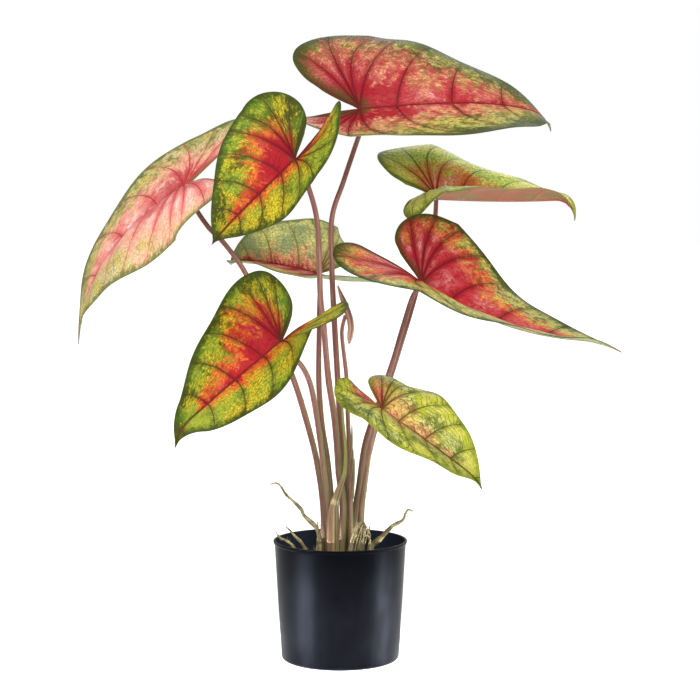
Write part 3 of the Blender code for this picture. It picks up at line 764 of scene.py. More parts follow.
def spine_turn(blade, x, side):
    """How the blade is turned x lengths from its junction: at x < 0 that is one side's lobe."""
    if x >= 0:
        hook = blade.hook * max(0.0, x - HOOK_START) / (1 - HOOK_START)
        return turn(blade.sway * x, blade.droop * x**DROOP_GROWTH + hook, blade.twist * x)
    share = min(-x / LOBE_REACH, LOBE_LIMIT)
    outwards = -blade.splay[side] * (1 - 2 * side)
    return turn(outwards * share, -blade.lobe_drop[side] * share, 0)


def make_spine(blade, side):
    """The midrib and the lobe's axis: (x, position, axes) at even steps of the blade's length."""
    pose = turn(blade.heading, blade.dip, blade.roll)
    step = 1 / SPINE_STEPS
    stations = {0: Vector(blade.junction)}
    for direction, count in ((1, SPINE_STEPS), (-1, SPINE_STEPS // 2)):
        for index in range(count):
            middle = direction * (index + 0.5) * step
            ahead = (pose @ spine_turn(blade, middle, side)).col[0]
            here = stations[direction * index]
            stations[direction * (index + 1)] = here + direction * step * blade.length * ahead
    return [
        (index * step, stations[index], pose @ spine_turn(blade, index * step, side))
        for index in sorted(stations)
    ]


def station(spine, x):
    """Position and axes on the spine at x, between its two nearest stations."""
    place = limited((x - spine[0][0]) * SPINE_STEPS, 0, len(spine) - 1.001)
    index = int(place)
    share = place - index
    (_, start, start_axes), (_, end, end_axes) = spine[index], spine[index + 1]
    axes = start_axes * (1 - share) + end_axes * share
    return start.lerp(end, share), axes.col[1].normalized(), axes.col[2].normalized()


def flat_point(blade, edge, side, out):
    """Where a rib's point lies on the flat blade: along its length, and out from the midrib."""
    edge_x = edge.x * (blade.lobe_length[side] if edge.x < 0 else 1)
    edge_y = edge.y * blade.width[side]
    foot = max(0.0, edge_x - RIB_SLANT * edge.y)
    bow = RIB_BOW * 4 * out * (1 - out) * limited(1 + edge_x / LOBE_BOW_REACH, 0, 1)
    x = foot + (edge_x - foot) * out - edge_y * bow
    y = edge_y * out + (edge_x - foot) * bow
    return x, y


def relief(around, out, phase):
    """Height over the plain surface: quilted between the sunken veins, waved towards the edge."""
    quilt = QUILT_HEIGHT * (0.5 + 0.5 * cos(2 * pi * VEINS * around)) * sin(pi * out)
    wave = WAVE_HEIGHT * out**3 * sin(2 * pi * (WAVES * around + phase))
    return (quilt + wave) * limited(around / TIP_FADE, 0, 1)


def blade_point(blade, spine, edge, side, around, out, phase):
    """A point of the finished blade's upper face."""
    x, y = flat_point(blade, edge, side, out)
    middle, across, up = station(spine, x)
    outwards = across * (1 - 2 * side)
    lobe = limited(-x / LOBE_FOLD_REACH, 0, LOBE_FOLD_LIMIT)
    fold = blade.fold[side] + blade.closing[side] * limited(x, 0, 1) + blade.lobe_fold[side] * lobe
    start = radians(fold)
    bend = radians(blade.curl[side]) / CURL_WIDTH
    end = start + bend * y
    if abs(bend * y) < NEARLY_FLAT:
        sideways, lift = y * cos(start), y * sin(start)
    else:
        sideways = (sin(end) - sin(start)) / bend
        lift = (cos(start) - cos(end)) / bend
    normal = up * cos(end) - outwards * sin(end)
    flat = middle + (outwards * sideways + up * lift) * blade.length
    return flat + normal * relief(around, out, phase)


def side_vein(blade, edges, side, around, out, x, y):
    """A flat point's distance from its side vein, and its share of the way to the next ridge."""
    number = int(limited(around * VEINS, 0, VEINS - 0.5)) + 0.5
    edge = edges[round(number * COLUMNS / VEINS)]
    here = Vector(flat_point(blade, edge, side, out))
    ahead = Vector(flat_point(blade, edge, side, out + VEIN_PROBE)) - here
    distance = abs(ahead.normalized().cross(Vector((x, y)) - here))
    return distance, 2 * abs(around * VEINS - number)


def margin_finder(blade, edges, side):
    """The flat outline of one half, ready for nearest-point searches."""
    finder = KDTree(2 * COLUMNS + 1)
    inner = Vector(flat_point(blade, edges[-1], side, 1))
    for index in range(COLUMNS + 1):
        x, y = flat_point(blade, edges[index], side, 1)
        finder.insert((x, y, 0), index)
        if index:
            x, y = inner * (index / COLUMNS)
            finder.insert((x, y, 0), COLUMNS + index)
    finder.balance()
    return finder


def profile_at(profile, around):
    """A profile's value at a share of the way from the tip round to the sinus."""
    place = limited(around, 0, 1) * (len(profile) - 1)
    index = min(int(place), len(profile) - 2)
    share = place - index
    share = share * share * (3 - 2 * share)
    return profile[index] * (1 - share) + profile[index + 1] * share


def blade_facts(blade, look, edges, finder, side, around, out, number):
    """The facts and the places of one point of a blade."""
    edge = edges[round(around * COLUMNS)]
    x, y = flat_point(blade, edge, side, out)
    vein, between = side_vein(blade, edges, side, around, out, x, y)
    length = blade.length
    reach = hypot(edge.x, edge.y * blade.width[side]) * out * length
    facts = Facts(
        margin=finder.find((x, y, 0))[2] * length,
        midrib=hypot(min(x, 0), y) * length,
        junction=hypot(x, y) * length,
        vein=vein * length,
        between=between,
        reach=reach,
        out=out,
        past_heart=out - profile_at(look.heart_reach[side], around),
        half=float(side),
    )
    flat = (x * length, y * length * (1 - 2 * side), 0.1 * number)
    ribs = (around * VEINS + 20 * side, reach * 100, number)
    return facts, (flat, ribs)


def blade_thickness(facts, x):
    """Thin between the veins, with rounded ridges under the veins and the midrib."""
    ridge = bell(facts.vein, VEIN_RIDGE) * (1 - facts.out)
    spine = bell(facts.midrib, MIDRIB_RIDGE) * (1 - 0.8 * limited(x, 0, 1))
    swelling = max((VEIN_THICKNESS - LAMINA) * ridge, (MIDRIB_THICKNESS - LAMINA) * spine)
    return LAMINA + swelling


def groove(facts):
    """How far the veins are sunk into the upper face."""
    vein = VEIN_GROOVE * bell(facts.vein, VEIN_RIDGE) * (1 - facts.out)
    return max(vein, MIDRIB_GROOVE * bell(facts.midrib, MIDRIB_RIDGE))


def make_blade(name, blade, number, look):
    """One blade: the same grid as the solid's, much finer, with what the shader needs on it."""
    spines = [make_spine(blade, side) for side in (0, 1)]
    edges = evenly(catmull_rom([(x, y, 0) for x, y in OUTLINE], OUTLINE_STEPS), COLUMNS)
    finders = [margin_finder(blade, edges, side) for side in (0, 1)]
    grid = bmesh.new()
    weights = grid.verts.layers.deform.verify()
    layers = [grid.verts.layers.float.new(key) for key in Facts._fields]
    layers += [grid.verts.layers.float_vector.new(key) for key in LEAF_PLACES]
    bmesh.ops.create_grid(grid, x_segments=2 * COLUMNS, y_segments=ROWS, size=1)
    for vertex in grid.verts:
        side = int(vertex.co.x > 0)
        column = round(abs(vertex.co.x) * COLUMNS)
        out = round((vertex.co.y + 1) / 2 * ROWS) / ROWS
        around = column / COLUMNS
        half = (blade, look, edges, finders[side], side)
        facts, places = blade_facts(*half, around, out, number)
        phase = BLADE_PHASE * number + SIDE_PHASE * side
        place = blade_point(blade, spines[side], edges[column], side, around, out, phase)
        x, _ = flat_point(blade, edges[column], side, out)
        _, _, up = station(spines[side], x)
        vertex.co = place - up * groove(facts)
        vertex[weights][0] = blade_thickness(facts, x) / MIDRIB_THICKNESS
        for layer, value in zip(layers, (*facts, *places)):
            vertex[layer] = value
    keep_inside(grid)
    bmesh.ops.remove_doubles(grid, verts=grid.verts, dist=WELD)
    made = add_object(f"{name}_blade_fine", grid, upper_face(name, look), under_face(name, look))
    thicken(made)
    ride_for(made, f"{name}_blade")


def thicken(made):
    """Gives an upper face its lower face, as far below it as its weights say."""
    made.vertex_groups.new(name="thickness")
    solid = made.modifiers.new("thickness", "SOLIDIFY")
    solid.thickness = MIDRIB_THICKNESS
    solid.offset = -1
    solid.vertex_group = "thickness"
    solid.material_offset = 1


def keep_inside(grid):
    """Keeps a mesh inside the solids' box, with room for its thickness."""
    low, high = CAD_BOX
    for vertex in grid.verts:
        vertex.co = [
            limited(value, least + BOX_MARGIN, most - BOX_MARGIN)
            for value, least, most in zip(vertex.co, low, high)
        ]


# Leaf looks


def branch_veins(facts, place):
    """Fine slanting veins that leave the side veins, as a share from 0 to 1."""
    steps = facts.reach / BRANCH_SPACING - facts.between * BRANCH_SLANT
    shared = (steps + place.noise(WOBBLE_SCALE, detail=4) * BRANCH_WOBBLE).math("FRACT")
    return (shared - 0.5).math("ABSOLUTE").fade(0.02, 0.12, 1.0, 0.0)


def lightness(look, facts, place, ribs):
    """How light the ground is: streaked along the ribs, under a thin net, with bright specks."""
    left, right = (GROUND_LIFT * share for share in look.lightness)
    level = ribs.stretched(*SOFT_STREAKS).noise(detail=5) + facts.half.fade(0.0, 1.0, left, right)
    # Painted shade: the ground a little darker beside the sunken veins
    level -= facts.vein.fade(0.0, 0.005, 0.10, 0.0)
    level -= facts.margin.fade(0.0, 2.5 * look.edge_width, 0.22, 0.0)
    level -= place.noise(SHADE_SCALE).fade(0.42, 0.66, 0.0, 0.20)
    lines = ribs.stretched(*CELLS_IN_RIBS).cells().fade(0.02, 0.16, 0.35, 1.0)
    specks = place.cells(SPECK_SCALE, "F1").fade(0.12, 0.40, 0.9, 0.0)
    specks *= place.noise(PATCH_SCALE).fade(0.50, 0.60)
    return (level.fade(0.44, 0.80) * lines).larger(specks)


def deepness(look, facts, broad, streaks):
    """How deep the heart's colour is: near the junction, the veins and the midrib, and in streaks."""
    near = facts.junction + broad * (0.8 * look.deep_reach)
    deep = near.fade(0.5 * look.deep_reach, 1.9 * look.deep_reach, 1.0, 0.0)
    # Beside the side veins: partly the veins' own colour, partly painted shade as if they lay in
    # shadow
    deep = deep.larger(facts.vein.fade(0.0005, 0.0060, 1.4 * look.band, 0.0))
    deep = deep.larger(streaks.fade(0.46, 0.66, 0.0, look.band + 0.1))
    return deep.larger(facts.midrib.fade(0.0008, 0.0070, 0.75, 0.0))


def crest_blush_and_highlight(look, facts, ribs, broad):
    """Pale crests between the veins, brushed along the ribs: own blush and painted highlight."""
    pale = facts.between.fade(0.1, 1.0) * ribs.stretched(*BRUSHED).noise(detail=5).fade(0.32, 0.68)
    return pale * broad.fade(0.30, 0.66, 0.0, look.wash)


def past_heart(look, facts, place, broad, streaks):
    """How far a point lies past the heart's ragged edge, on the way to the margin."""
    past = facts.past_heart + streaks * look.feather + broad * 0.5 + facts.between * 0.12
    return past + place.noise(RAGGED_SCALE, detail=3) * 0.36 - (0.5 * look.feather + 0.49)


def leaf_colour(look, facts, place, ribs, broad, streaks, past):
    """Heart, halo and ground: light cells in a darker net."""
    heart = past.fade(-0.14, 0.08, 1.0, 0.0)
    halo = past.fade(0.0, look.halo_spread, 0.95, 0.0)
    # The heart's crests turn pale: partly their own blush, partly a painted highlight
    filling = crest_blush_and_highlight(look, facts, ribs, broad).mix(look.heart, BLUSH_AND_HIGHLIGHT)
    filling = deepness(look, facts, broad, streaks).mix(filling, look.deep)
    bright = halo.mix(broad.fade(0.40, 0.60).mix(look.light, look.fresh), look.halo)
    dim = (halo * 0.8).mix(broad.fade(0.42, 0.58).mix(look.dark, look.shade), look.heart)
    light = (lightness(look, facts, place, ribs) + heart * 0.40).smaller(1.0)
    return light.mix(heart.mix(dim, look.deep), heart.mix(bright, filling))


def upper_face(name, look):
    """The upper face: colours, margin band, and sunken veins with painted shade beside them."""
    surface = Surface(f"{name}_upper", specular=0.07)
    facts = Facts(*map(surface.attribute, Facts._fields))
    place = surface.attribute("flat", "Vector").warped(*PLACE_WARP)
    ribs = surface.attribute("ribs", "Vector").warped(*RIBS_WARP)
    broad = place.noise(BROAD_SCALE, detail=3)
    fine = place.noise(FINE_SCALE)
    streaks = ribs.stretched(*STREAKS).noise(detail=3)
    past = past_heart(look, facts, place, broad, streaks)
    colour = leaf_colour(look, facts, place, ribs, broad, streaks, past)
    rim = facts.margin + 0.006 - streaks * 0.012
    edge = rim.fade(0.2 * look.edge_width, 1.5 * look.edge_width, 0.92, 0.0)
    colour = edge.mix(colour, fine.mix(look.edge, look.dark))

    vein_colour = past.fade(-0.25, 0.20).mix(look.inner, look.outer)
    net = place.cells(NET_SCALE).fade(0.02, 0.12, 0.25, 0.0)
    finest = net.larger(branch_veins(facts, place) * look.veining)
    side_lines = facts.vein / (facts.out * -VEIN_NARROWING + VEIN_WIDTH)
    lines = side_lines.fade(0.3, 1.0, 0.9, 0.0).larger(facts.midrib.fade(0.0005, 0.0015, 0.9, 0.0))
    # Painted shade: vein colour spread in streaks beside the sunken veins, as if they lay in shadow
    shade = facts.vein.fade(0.0005, 0.0065, look.band, 0.0) * streaks.fade(0.35, 0.60)
    colour = lines.larger(shade).mix(finest.mix(colour, vein_colour), vein_colour)
    relief = fine * 0.2 - lines.larger(finest)
    return surface.finished(colour, fine.fade(0.3, 0.7, 0.36, 0.52), (relief, 0.0006, 0.6))


def under_face(name, look):
    """The duller lower face, with raised veins."""
    surface = Surface(f"{name}_under", specular=0.07)
    place = surface.attribute("flat", "Vector").warped(*PLACE_WARP)
    ground = place.noise(BROAD_SCALE, detail=3).fade(0.4, 0.7, 0.0, 0.6).mix(look.under, GREY_GREEN)
    ground = surface.attribute("past_heart").fade(-0.4, 0.2, 0.45, 0.0).mix(ground, PINK_GREY)
    ground = surface.attribute("margin").fade(0.001, 0.006, 0.5, 0.0).mix(ground, GREY_GREEN)
    net = place.cells(NET_SCALE).fade(0.02, 0.10, 0.30, 0.0)
    lines = surface.attribute("vein").smaller(surface.attribute("midrib"))
    lines = lines.fade(0.0003, 0.0010, 0.6, 0.0)
    colour = lines.mix(net.mix(ground, OLIVE), DULL_RED)
    return surface.finished(colour, 0.55, (lines.larger(net), 0.0004, 0.4))


# Stems


def path_frames(points):
    """Each point of a path, two axes across it, and how far along it lies: share and metres."""
    count = len(points) - 1
    across = (points[1] - points[0]).orthogonal().normalized()
    travelled = 0.0
    for index, point in enumerate(points):
        before = points[max(index - 1, 0)]
        ahead = (points[min(index + 1, count)] - before).normalized()
        across = (across - across.dot(ahead) * ahead).normalized()
        travelled += (point - before).length
        yield point, across, ahead.cross(across), index / count, travelled


def add_tube(shape, points, radius_at, sides):
    """Adds a closed tube through the points; radius_at(share, angle) gives its radius."""
    share_layer = shape.verts.layers.float["share"]
    wrap_layer = shape.verts.layers.float_vector["wrap"]
    rings = []
    for point, across, aside, share, travelled in path_frames(points):
        ring = []
        for side in range(sides):
            angle = 2 * pi * side / sides
            outwards = across * cos(angle) + aside * sin(angle)
            vertex = shape.verts.new(point + outwards * radius_at(share, angle))
            vertex[share_layer] = share
            vertex[wrap_layer] = (outwards.x, outwards.y, travelled)
            ring.append(vertex)
        rings.append(ring)
    for lower, upper in zip(rings, rings[1:]):
        for side in range(sides):
            after = (side + 1) % sides
            shape.faces.new((lower[side], lower[after], upper[after], upper[side]))
    for ring, point, share in ((rings[0][::-1], points[0], 0.0), (rings[-1], points[-1], 1.0)):
        centre = shape.verts.new(point)
        centre[share_layer] = share
        for side in range(sides):
            shape.faces.new((ring[side], ring[(side + 1) % sides], centre))


def tube_shape():
    """An empty shape for tubes, which carry how far along and which way round a point lies."""
    shape = bmesh.new()
    shape.verts.layers.float.new("share")
    shape.verts.layers.float_vector.new("wrap")
    return shape


def tube(name, points, radius_at, material, sides=STEM_SIDES):
    """One tube as an object."""
    shape = tube_shape()
    add_tube(shape, points, radius_at, sides)
    return add_object(name, shape, material)


def stem_points(route, step):
    """Close, even points along a stem's route."""
    curve = catmull_rom(route, CURVE_STEPS)
    length = sum((b - a).length for a, b in zip(curve, curve[1:]))
    return evenly(curve, round(length / step))


def joined_stalk(name):
    """The stalk of this blade, carried on to just under the blade."""
    below = -turn(BLADES[name].heading, BLADES[name].dip, BLADES[name].roll).col[2]
    junction = Vector(BLADES[name].junction)
    end = (tuple(junction + below * STALK_APPROACH), tuple(junction + below * JOINT_GAP))
    return STALKS[name]._replace(route=STALKS[name].route + end)


def tapered(stem, share):
    """A stem's plain radius at a share of its length."""
    return stem.foot_radius + (stem.end_radius - stem.foot_radius) * share**stem.taper


def stalk_radius(stem, seed, rings):
    """A stalk's radius: tapered, faintly ridged and uneven, with a low collar at each ring scar."""

    def radius_at(share, angle):
        ridges = STALK_RIDGES[0] * sin(5 * angle + seed)
        ridges += STALK_RIDGES[1] * sin(3 * angle + 9 * share + seed)
        uneven = STALK_UNEVENNESS * noise.noise(Vector((seed * 7.3, share * 14, 0)))
        collars = sum(bell(share - ring, RING_WIDTH) for ring in rings)
        return tapered(stem, share) * (0.97 + ridges + uneven + RING_COLLAR * collars)

    return radius_at


def stalk_material():
    """Dusky mauve skin, olive on one side and towards the foot, streaked along the stalk."""
    surface = Surface("leaf_stalk_skin", specular=0.20)
    wrap = surface.attribute("wrap", "Vector")
    streaks = wrap.stretched(1.2, 1.2, 14.0).noise(1.6, detail=3)
    fine = wrap.stretched(3.0, 3.0, 40.0).noise(2.0, detail=3)
    low = surface.place().along("Z") - wrap.along("X") * 0.13 + streaks * 0.30 - 0.15
    colour = low.fade(0.04, 0.26).mix(STALK_OLIVE, STALK_MAUVE)
    colour = streaks.fade(0.46, 0.70, 0.0, 0.40).mix(colour, STALK_TAN)
    colour = fine.fade(0.48, 0.72, 0.0, 0.50).mix(colour, STALK_DARK)
    return surface.finished(colour, 0.45, (fine, 0.0003, 0.35))


def root_material():
    """Pale, woody, wrinkled bark of bare roots."""
    surface = Surface("root_bark", specular=0.1)
    place = surface.place().warped(300, 0.002)
    rough = place.noise(900, detail=4)
    colour = place.noise(160, detail=3).fade(0.35, 0.65).mix(ROOT_DARK, ROOT_PALE)
    colour = rough.fade(0.5, 0.7, 0.0, 0.6).mix(colour, ROOT_BROWN)
    return surface.finished(colour, 0.85, (rough, 0.0006, 0.8))


def plain_skin(name, first, second, scale, roughness):
    """A skin mottled between two colours."""
    surface = Surface(name, specular=0.3)
    streaks = surface.attribute("wrap", "Vector").stretched(1.0, 1.0, 16.0).noise(scale, detail=4)
    colour = streaks.fade(0.35, 0.65).mix(first, second)
    return surface.finished(colour, roughness, (streaks, 0.0003, 0.4))


def sheath_material():
    """Dry brown fibres below the pale torn knuckle, and a green strip above it."""
    surface = Surface("old_sheath_skin", specular=0.2)
    share = surface.attribute("share")
    wrap = surface.attribute("wrap", "Vector")
    fibres = wrap.stretched(2.4, 2.4, 14.0).noise(2.0, detail=4)
    bands = wrap.stretched(1.8, 1.8, 3.0).noise(1.5)
    pale = fibres.fade(0.45, 0.7, 0.0, 0.5)
    below = bands.fade(0.42, 0.54).mix(SHEATH_BROWN, STALK_OLIVE)
    below = bands.fade(0.54, 0.66, 0.0, 0.8).mix(below, STALK_DARK)
    above = pale.mix(SHEATH_GREEN, LIME)
    colour = share.fade(0.62, 0.72).mix(pale.mix(below, STALK_TAN), above)
    knuckle = (share - SHEATH_KNUCKLE).math("ABSOLUTE").fade(0.005, 0.05, 0.9, 0.0)
    colour = (knuckle * fibres.fade(0.45, 0.60)).mix(colour, CREAM)
    return surface.finished(colour, 0.6, (fibres, 0.0005, 0.7))


def ring_shares(name, points):
    """How far along a stalk its ring scars are, as shares."""
    for height in RING_HEIGHTS.get(name, ()):
        nearest = min(range(len(points)), key=lambda index: abs(points[index].z - height))
        yield nearest / (len(points) - 1)


def make_stalks(material):
    """The eight leaf stalks, with their ring scars."""
    for number, name in enumerate(BLADES):
        stem = joined_stalk(name)
        points = stem_points(stem.route, STALK_STEP)
        radius_at = stalk_radius(stem, number, list(ring_shares(name, points)))
        made = tube(f"{name}_stalk_fine", points, radius_at, material)
        ride_for(made, f"{name}_stalk")


def shaped(knots):
    """The points of a smooth curve through (x, y, z, radius) knots, and the radius at a share."""
    curve = catmull_rom(knots, SHAPED_STEPS)
    return [knot.to_3d() for knot in curve], lambda share: curve[round(share * (len(curve) - 1))].w


def make_young_shoot(material):
    """The thin stalk and the furled new leaf that nods from it."""
    points = stem_points(YOUNG_SHOOT.route, STALK_STEP)
    made = tube("young_shoot_fine", points, stalk_radius(YOUNG_SHOOT, SHOOT_SEED, ()), material)
    ride_for(made, "young_shoot")
    points, plain = shaped(FURLED_LEAF)

    def radius_at(share, angle):
        """Rolled up, so that one edge stands a little over the leaf below it."""
        rolled = ((angle + 2.5 * share) % (2 * pi)) / (2 * pi)
        return plain(share) * (0.92 + ROLLED_EDGE * rolled)

    skin = plain_skin("furled_leaf_skin", STALK_TAN, STALK_MAUVE, 1.4, roughness=0.5)
    ride_free(tube("furled_leaf", points, radius_at, skin, FURLED_SIDES))


def make_old_sheath():
    """The drying sheath: folds below its knuckle, and a thin strip above."""
    points, plain = shaped(OLD_SHEATH)

    def radius_at(share, angle):
        """Folded lengthways, with a rough knuckle."""
        folds = 0.10 * abs(sin(2.5 * angle + 1.5 * share)) + 0.03 * sin(11 * angle)
        knuckle = 0.10 * bell(share - SHEATH_KNUCKLE, KNUCKLE_LENGTH) * sin(5 * angle)
        return plain(share) * (0.90 + folds + knuckle)

    made = tube("old_sheath_fine", points, radius_at, sheath_material(), SHEATH_SIDES)
    ride_for(made, "old_sheath")


def make_sheath_tips(material):
    """Torn tips of old sheaths that stand off the young shoot."""
    for index, (foot, tip, width) in enumerate(SHEATH_TIPS):
        middle = Vector(foot).lerp(Vector(tip), 0.55) + Vector(TIP_BOW)
        points = stem_points((foot, tuple(middle), tip), TIP_STEP)

        def radius_at(share, angle, width=width):
            flat = 0.25 + 0.75 * abs(cos(angle))
            return width * flat * (1 - share) ** 0.7 + TIP_LEAST_RADIUS

        made = tube(f"sheath_tip_{index}", points, radius_at, material, TIP_SIDES)
        ride_free(made)


def root_radius(root, seed):
    """A root's radius: tapered, knotty and wrinkled."""

    def radius_at(share, angle):
        knots = ROOT_KNOTS * noise.noise(Vector((seed * 3.1, share * 11, 0)))
        round_about = Vector((cos(angle) * 1.5, sin(angle) * 1.5 + seed, share * 30))
        wrinkles = ROOT_WRINKLES * noise.noise(round_about)
        return max(tapered(root, share) * (0.92 + knots + wrinkles), ROOT_LEAST_RADIUS)

    return radius_at


def hair_radius(share, angle):
    """A root hair's radius, thinner towards its end."""
    return HAIR_RADIUS * (1 - 0.8 * share)


def hair_route(start, chance):
    """A fine root hair from start: outwards, and then bent upwards."""
    outwards = Vector((chance.uniform(-1, 1), chance.uniform(-1, 1), chance.uniform(-0.2, 1)))
    length = chance.uniform(*HAIR_LENGTHS)
    middle = start + outwards.normalized() * length * 0.6
    end = middle + Vector((chance.uniform(-1, 1), chance.uniform(-1, 1), 1)) * length * 0.3
    return tuple(start), tuple(middle), tuple(end)


def strand_route(shift, chance):
    """The loop's route moved aside, and a little at random at each point."""
    for point in ROOTS["root_loop"].route[1:]:
        yield [
            here + aside + chance.uniform(-STRAND_WANDER, STRAND_WANDER)
            for here, aside in zip(point, shift)
        ]


def make_roots(material):
    """The bare roots, each with fine hairs along it, and the strands of the loop."""
    chance = Random(ROOT_SEED)
    for number, (name, root) in enumerate(ROOTS.items()):
        points = stem_points(root.route, ROOT_STEP)
        made = tube(f"{name}_fine", points, root_radius(root, number), material, ROOT_SIDES)
        ride_for(made, name)
        hairs = tube_shape()
        for _ in range(ROOT_HAIRS[name]):
            start = points[chance.randrange(len(points) // 3, len(points) - 2)]
            hair = stem_points(hair_route(start, chance), HAIR_STEP)
            add_tube(hairs, hair, hair_radius, HAIR_SIDES)
        ride_free(add_object(f"{name}_hairs", hairs, material))
    strands = tube_shape()
    for number, shift in enumerate(LOOP_STRANDS):
        strand = Stem(list(strand_route(shift, chance)), STRAND_RADIUS, STRAND_RADIUS / 2, 1.0)
        points = stem_points(strand.route, ROOT_STEP)
        add_tube(strands, points, root_radius(strand, 20 + number), STRAND_SIDES)
    ride_free(add_object("root_loop_strands", strands, material))


# Pot and soil


def circle(radius, steps):
    """Points round the pot's axis."""
    angles = [2 * pi * step / steps for step in range(steps)]
    return [(radius * cos(angle), radius * sin(angle)) for angle in angles]


def turned(name, profile, steps, material):
    """A smooth solid turned about Z from (radius, height) points, with both ends on the axis."""
    shape = bmesh.new()
    rings = [
        [shape.verts.new((x, y, height)) for x, y in circle(radius, steps)]
        for radius, height in profile[1:-1]
    ]
    first, last = [shape.verts.new((0, 0, height)) for _, height in (profile[0], profile[-1])]
    for step in range(steps):
        after = (step + 1) % steps
        shape.faces.new((first, rings[0][after], rings[0][step]))
        shape.faces.new((last, rings[-1][step], rings[-1][after]))
        for inner, outer in zip(rings, rings[1:]):
            shape.faces.new((inner[step], inner[after], outer[after], outer[step]))
    bmesh.ops.recalc_face_normals(shape, faces=shape.faces)
    made = add_object(name, shape, material)
    made.data.set_sharp_from_angle(angle=radians(SHARP_ANGLE))
    return made


def pot_radius(height):
    """The pot's outer radius at a height."""
    return POT_BASE_RADIUS + POT_WIDENING * height


def pot_material():
    """Dark satin plastic: faint upright flow marks, dust, fine scratches, and painted light inside.
    """
    surface = Surface("pot_plastic", specular=0.034)
    surface.set("Specular Tint", POT_SHEEN)
    place = surface.place()
    flow = place.stretched(1, 1, 0.12).noise(90, detail=3)
    dust = place.noise(35, detail=4)
    specks = place.noise(1400)
    from_axis = place.stretched(1, 1, 0).vector("LENGTH", output="Value")
    depth = place.along("Z") * POT_WIDENING + POT_BASE_RADIUS - from_axis
    colour = dust.fade(0.45, 0.75, 0.0, 0.35).mix(POT_DARK, POT_DUSTY)
    # Painted light: paler and bluer inside the wall, as if the inside were lit
    colour = depth.fade(0.0005, 0.0014).mix(colour, POT_INNER_LIT)
    colour = specks.fade(0.66, 0.74, 0.0, 0.25).mix(colour, POT_SPECK)
    roughness = (flow + dust).fade(0.7, 1.3, 0.27, 0.38)
    return surface.finished(colour, roughness, (flow + specks * 0.2, 0.0002, 0.25))


def arc(centre_radius, centre_height, bend, start, end, steps):
    """Points of an arc in the turned profile, with its angles in degrees from outwards."""
    angles = [radians(start + (end - start) * step / steps) for step in range(steps + 1)]
    return [
        (centre_radius + bend * cos(angle), centre_height + bend * sin(angle)) for angle in angles
    ]


def make_pot():
    """The pot with the same wall, lip and foot as the solid's, but smooth and rounded."""
    lip_bottom = POT_HEIGHT - POT_LIP_HEIGHT
    bevel = POT_RIM_BEVEL
    inner_floor = pot_radius(POT_FLOOR) - POT_WALL
    inner_top = pot_radius(POT_HEIGHT) - POT_WALL
    profile = [
        (0, POT_FLOOR),
        (inner_floor - POT_FLOOR_BEVEL, POT_FLOOR),
        (inner_floor, POT_FLOOR + POT_FLOOR_BEVEL),
        (inner_top, POT_HEIGHT - bevel),
        *arc(inner_top + bevel, POT_HEIGHT - bevel, bevel, 165, 90, 4),
        *arc(POT_TOP_RADIUS - bevel, POT_HEIGHT - bevel, bevel, 90, 0, 5),
        (POT_TOP_RADIUS - POT_LIP_DRAFT, lip_bottom + POT_LIP_SLOPE),
        (pot_radius(lip_bottom) + POT_LIP_CORNER, lip_bottom + POT_LIP_CORNER),
        (pot_radius(lip_bottom), lip_bottom),
        (pot_radius(lip_bottom / 2), lip_bottom / 2),
        *arc(POT_BASE_RADIUS - POT_FOOT_RADIUS, POT_FOOT_RADIUS, POT_FOOT_RADIUS, 0, -90, 8),
        (0, 0),
    ]
    ride_for(turned("pot_fine", profile, POT_STEPS, pot_material()), "pot")


def soil_height(x, y):
    """The soil's surface: a low mound with clods."""
    share = hypot(x, y) / SOIL_RADIUS
    clods = noise.fractal(Vector((x, y, CLOD_SLICE)) * CLOD_SCALE, 0.8, 2.0, 4)
    return SOIL_EDGE_HEIGHT + SOIL_MOUND * (1 - share**2) + SOIL_ROUGHNESS * clods


def soil_material():
    """Dark potting soil with paler fibres."""
    surface = Surface("soil_crumb", specular=0.15)
    place = surface.place()
    grains = place.noise(1100, detail=4)
    colour = place.noise(220, detail=3).fade(0.35, 0.7).mix(SOIL_DARK, SOIL_BROWN)
    colour = grains.fade(0.56, 0.7, 0.0, 0.7).mix(colour, SOIL_PALE)
    return surface.finished(colour, 0.95, (grains, 0.0008, 0.9))


def add_crumb(mesh, place, radius, chance):
    """One angular crumb of soil or bark."""
    made = bmesh.ops.create_icosphere(mesh, subdivisions=1, radius=radius)
    flatness = chance.uniform(*CRUMB_FLATNESS)
    spin = Matrix.Rotation(chance.uniform(0, 2 * pi), 3, "Z")
    tilt = Matrix.Rotation(chance.uniform(0, CRUMB_TILT), 3, "X")
    for vertex in made["verts"]:
        jitter = 1 + chance.uniform(-CRUMB_JITTER, CRUMB_JITTER)
        local = Vector((vertex.co.x, vertex.co.y * flatness, vertex.co.z * flatness)) * jitter
        vertex.co = spin @ tilt @ local + place


def make_soil(bark):
    """The soil with an uneven surface, under loose crumbs and bits of bark."""
    shape = bmesh.new()
    centre = shape.verts.new((0, 0, soil_height(0, 0)))
    rings = []
    for ring in range(1, SOIL_RINGS + 1):
        corners = circle(SOIL_RADIUS * ring / SOIL_RINGS, SOIL_STEPS)
        rings.append([shape.verts.new((x, y, soil_height(x, y))) for x, y in corners])
    foot = circle(pot_radius(POT_FLOOR) - SOIL_INSET, SOIL_STEPS)
    rings.append([shape.verts.new((x, y, POT_FLOOR + SOIL_INSET - POT_WALL)) for x, y in foot])
    for step in range(SOIL_STEPS):
        after = (step + 1) % SOIL_STEPS
        shape.faces.new((centre, rings[0][step], rings[0][after]))
        for inner, outer in zip(rings, rings[1:]):
            shape.faces.new((inner[step], outer[step], outer[after], inner[after]))
    shape.faces.new(rings[-1][::-1])
    crumb = soil_material()
    ride_for(add_object("soil_fine", shape, crumb), "soil")
    make_crumbs("soil_crumbs", round(CRUMBS * (1 - BARK_SHARE)), CRUMB_RADII, crumb)
    make_crumbs("soil_bark", round(CRUMBS * BARK_SHARE), BARK_RADII, bark)


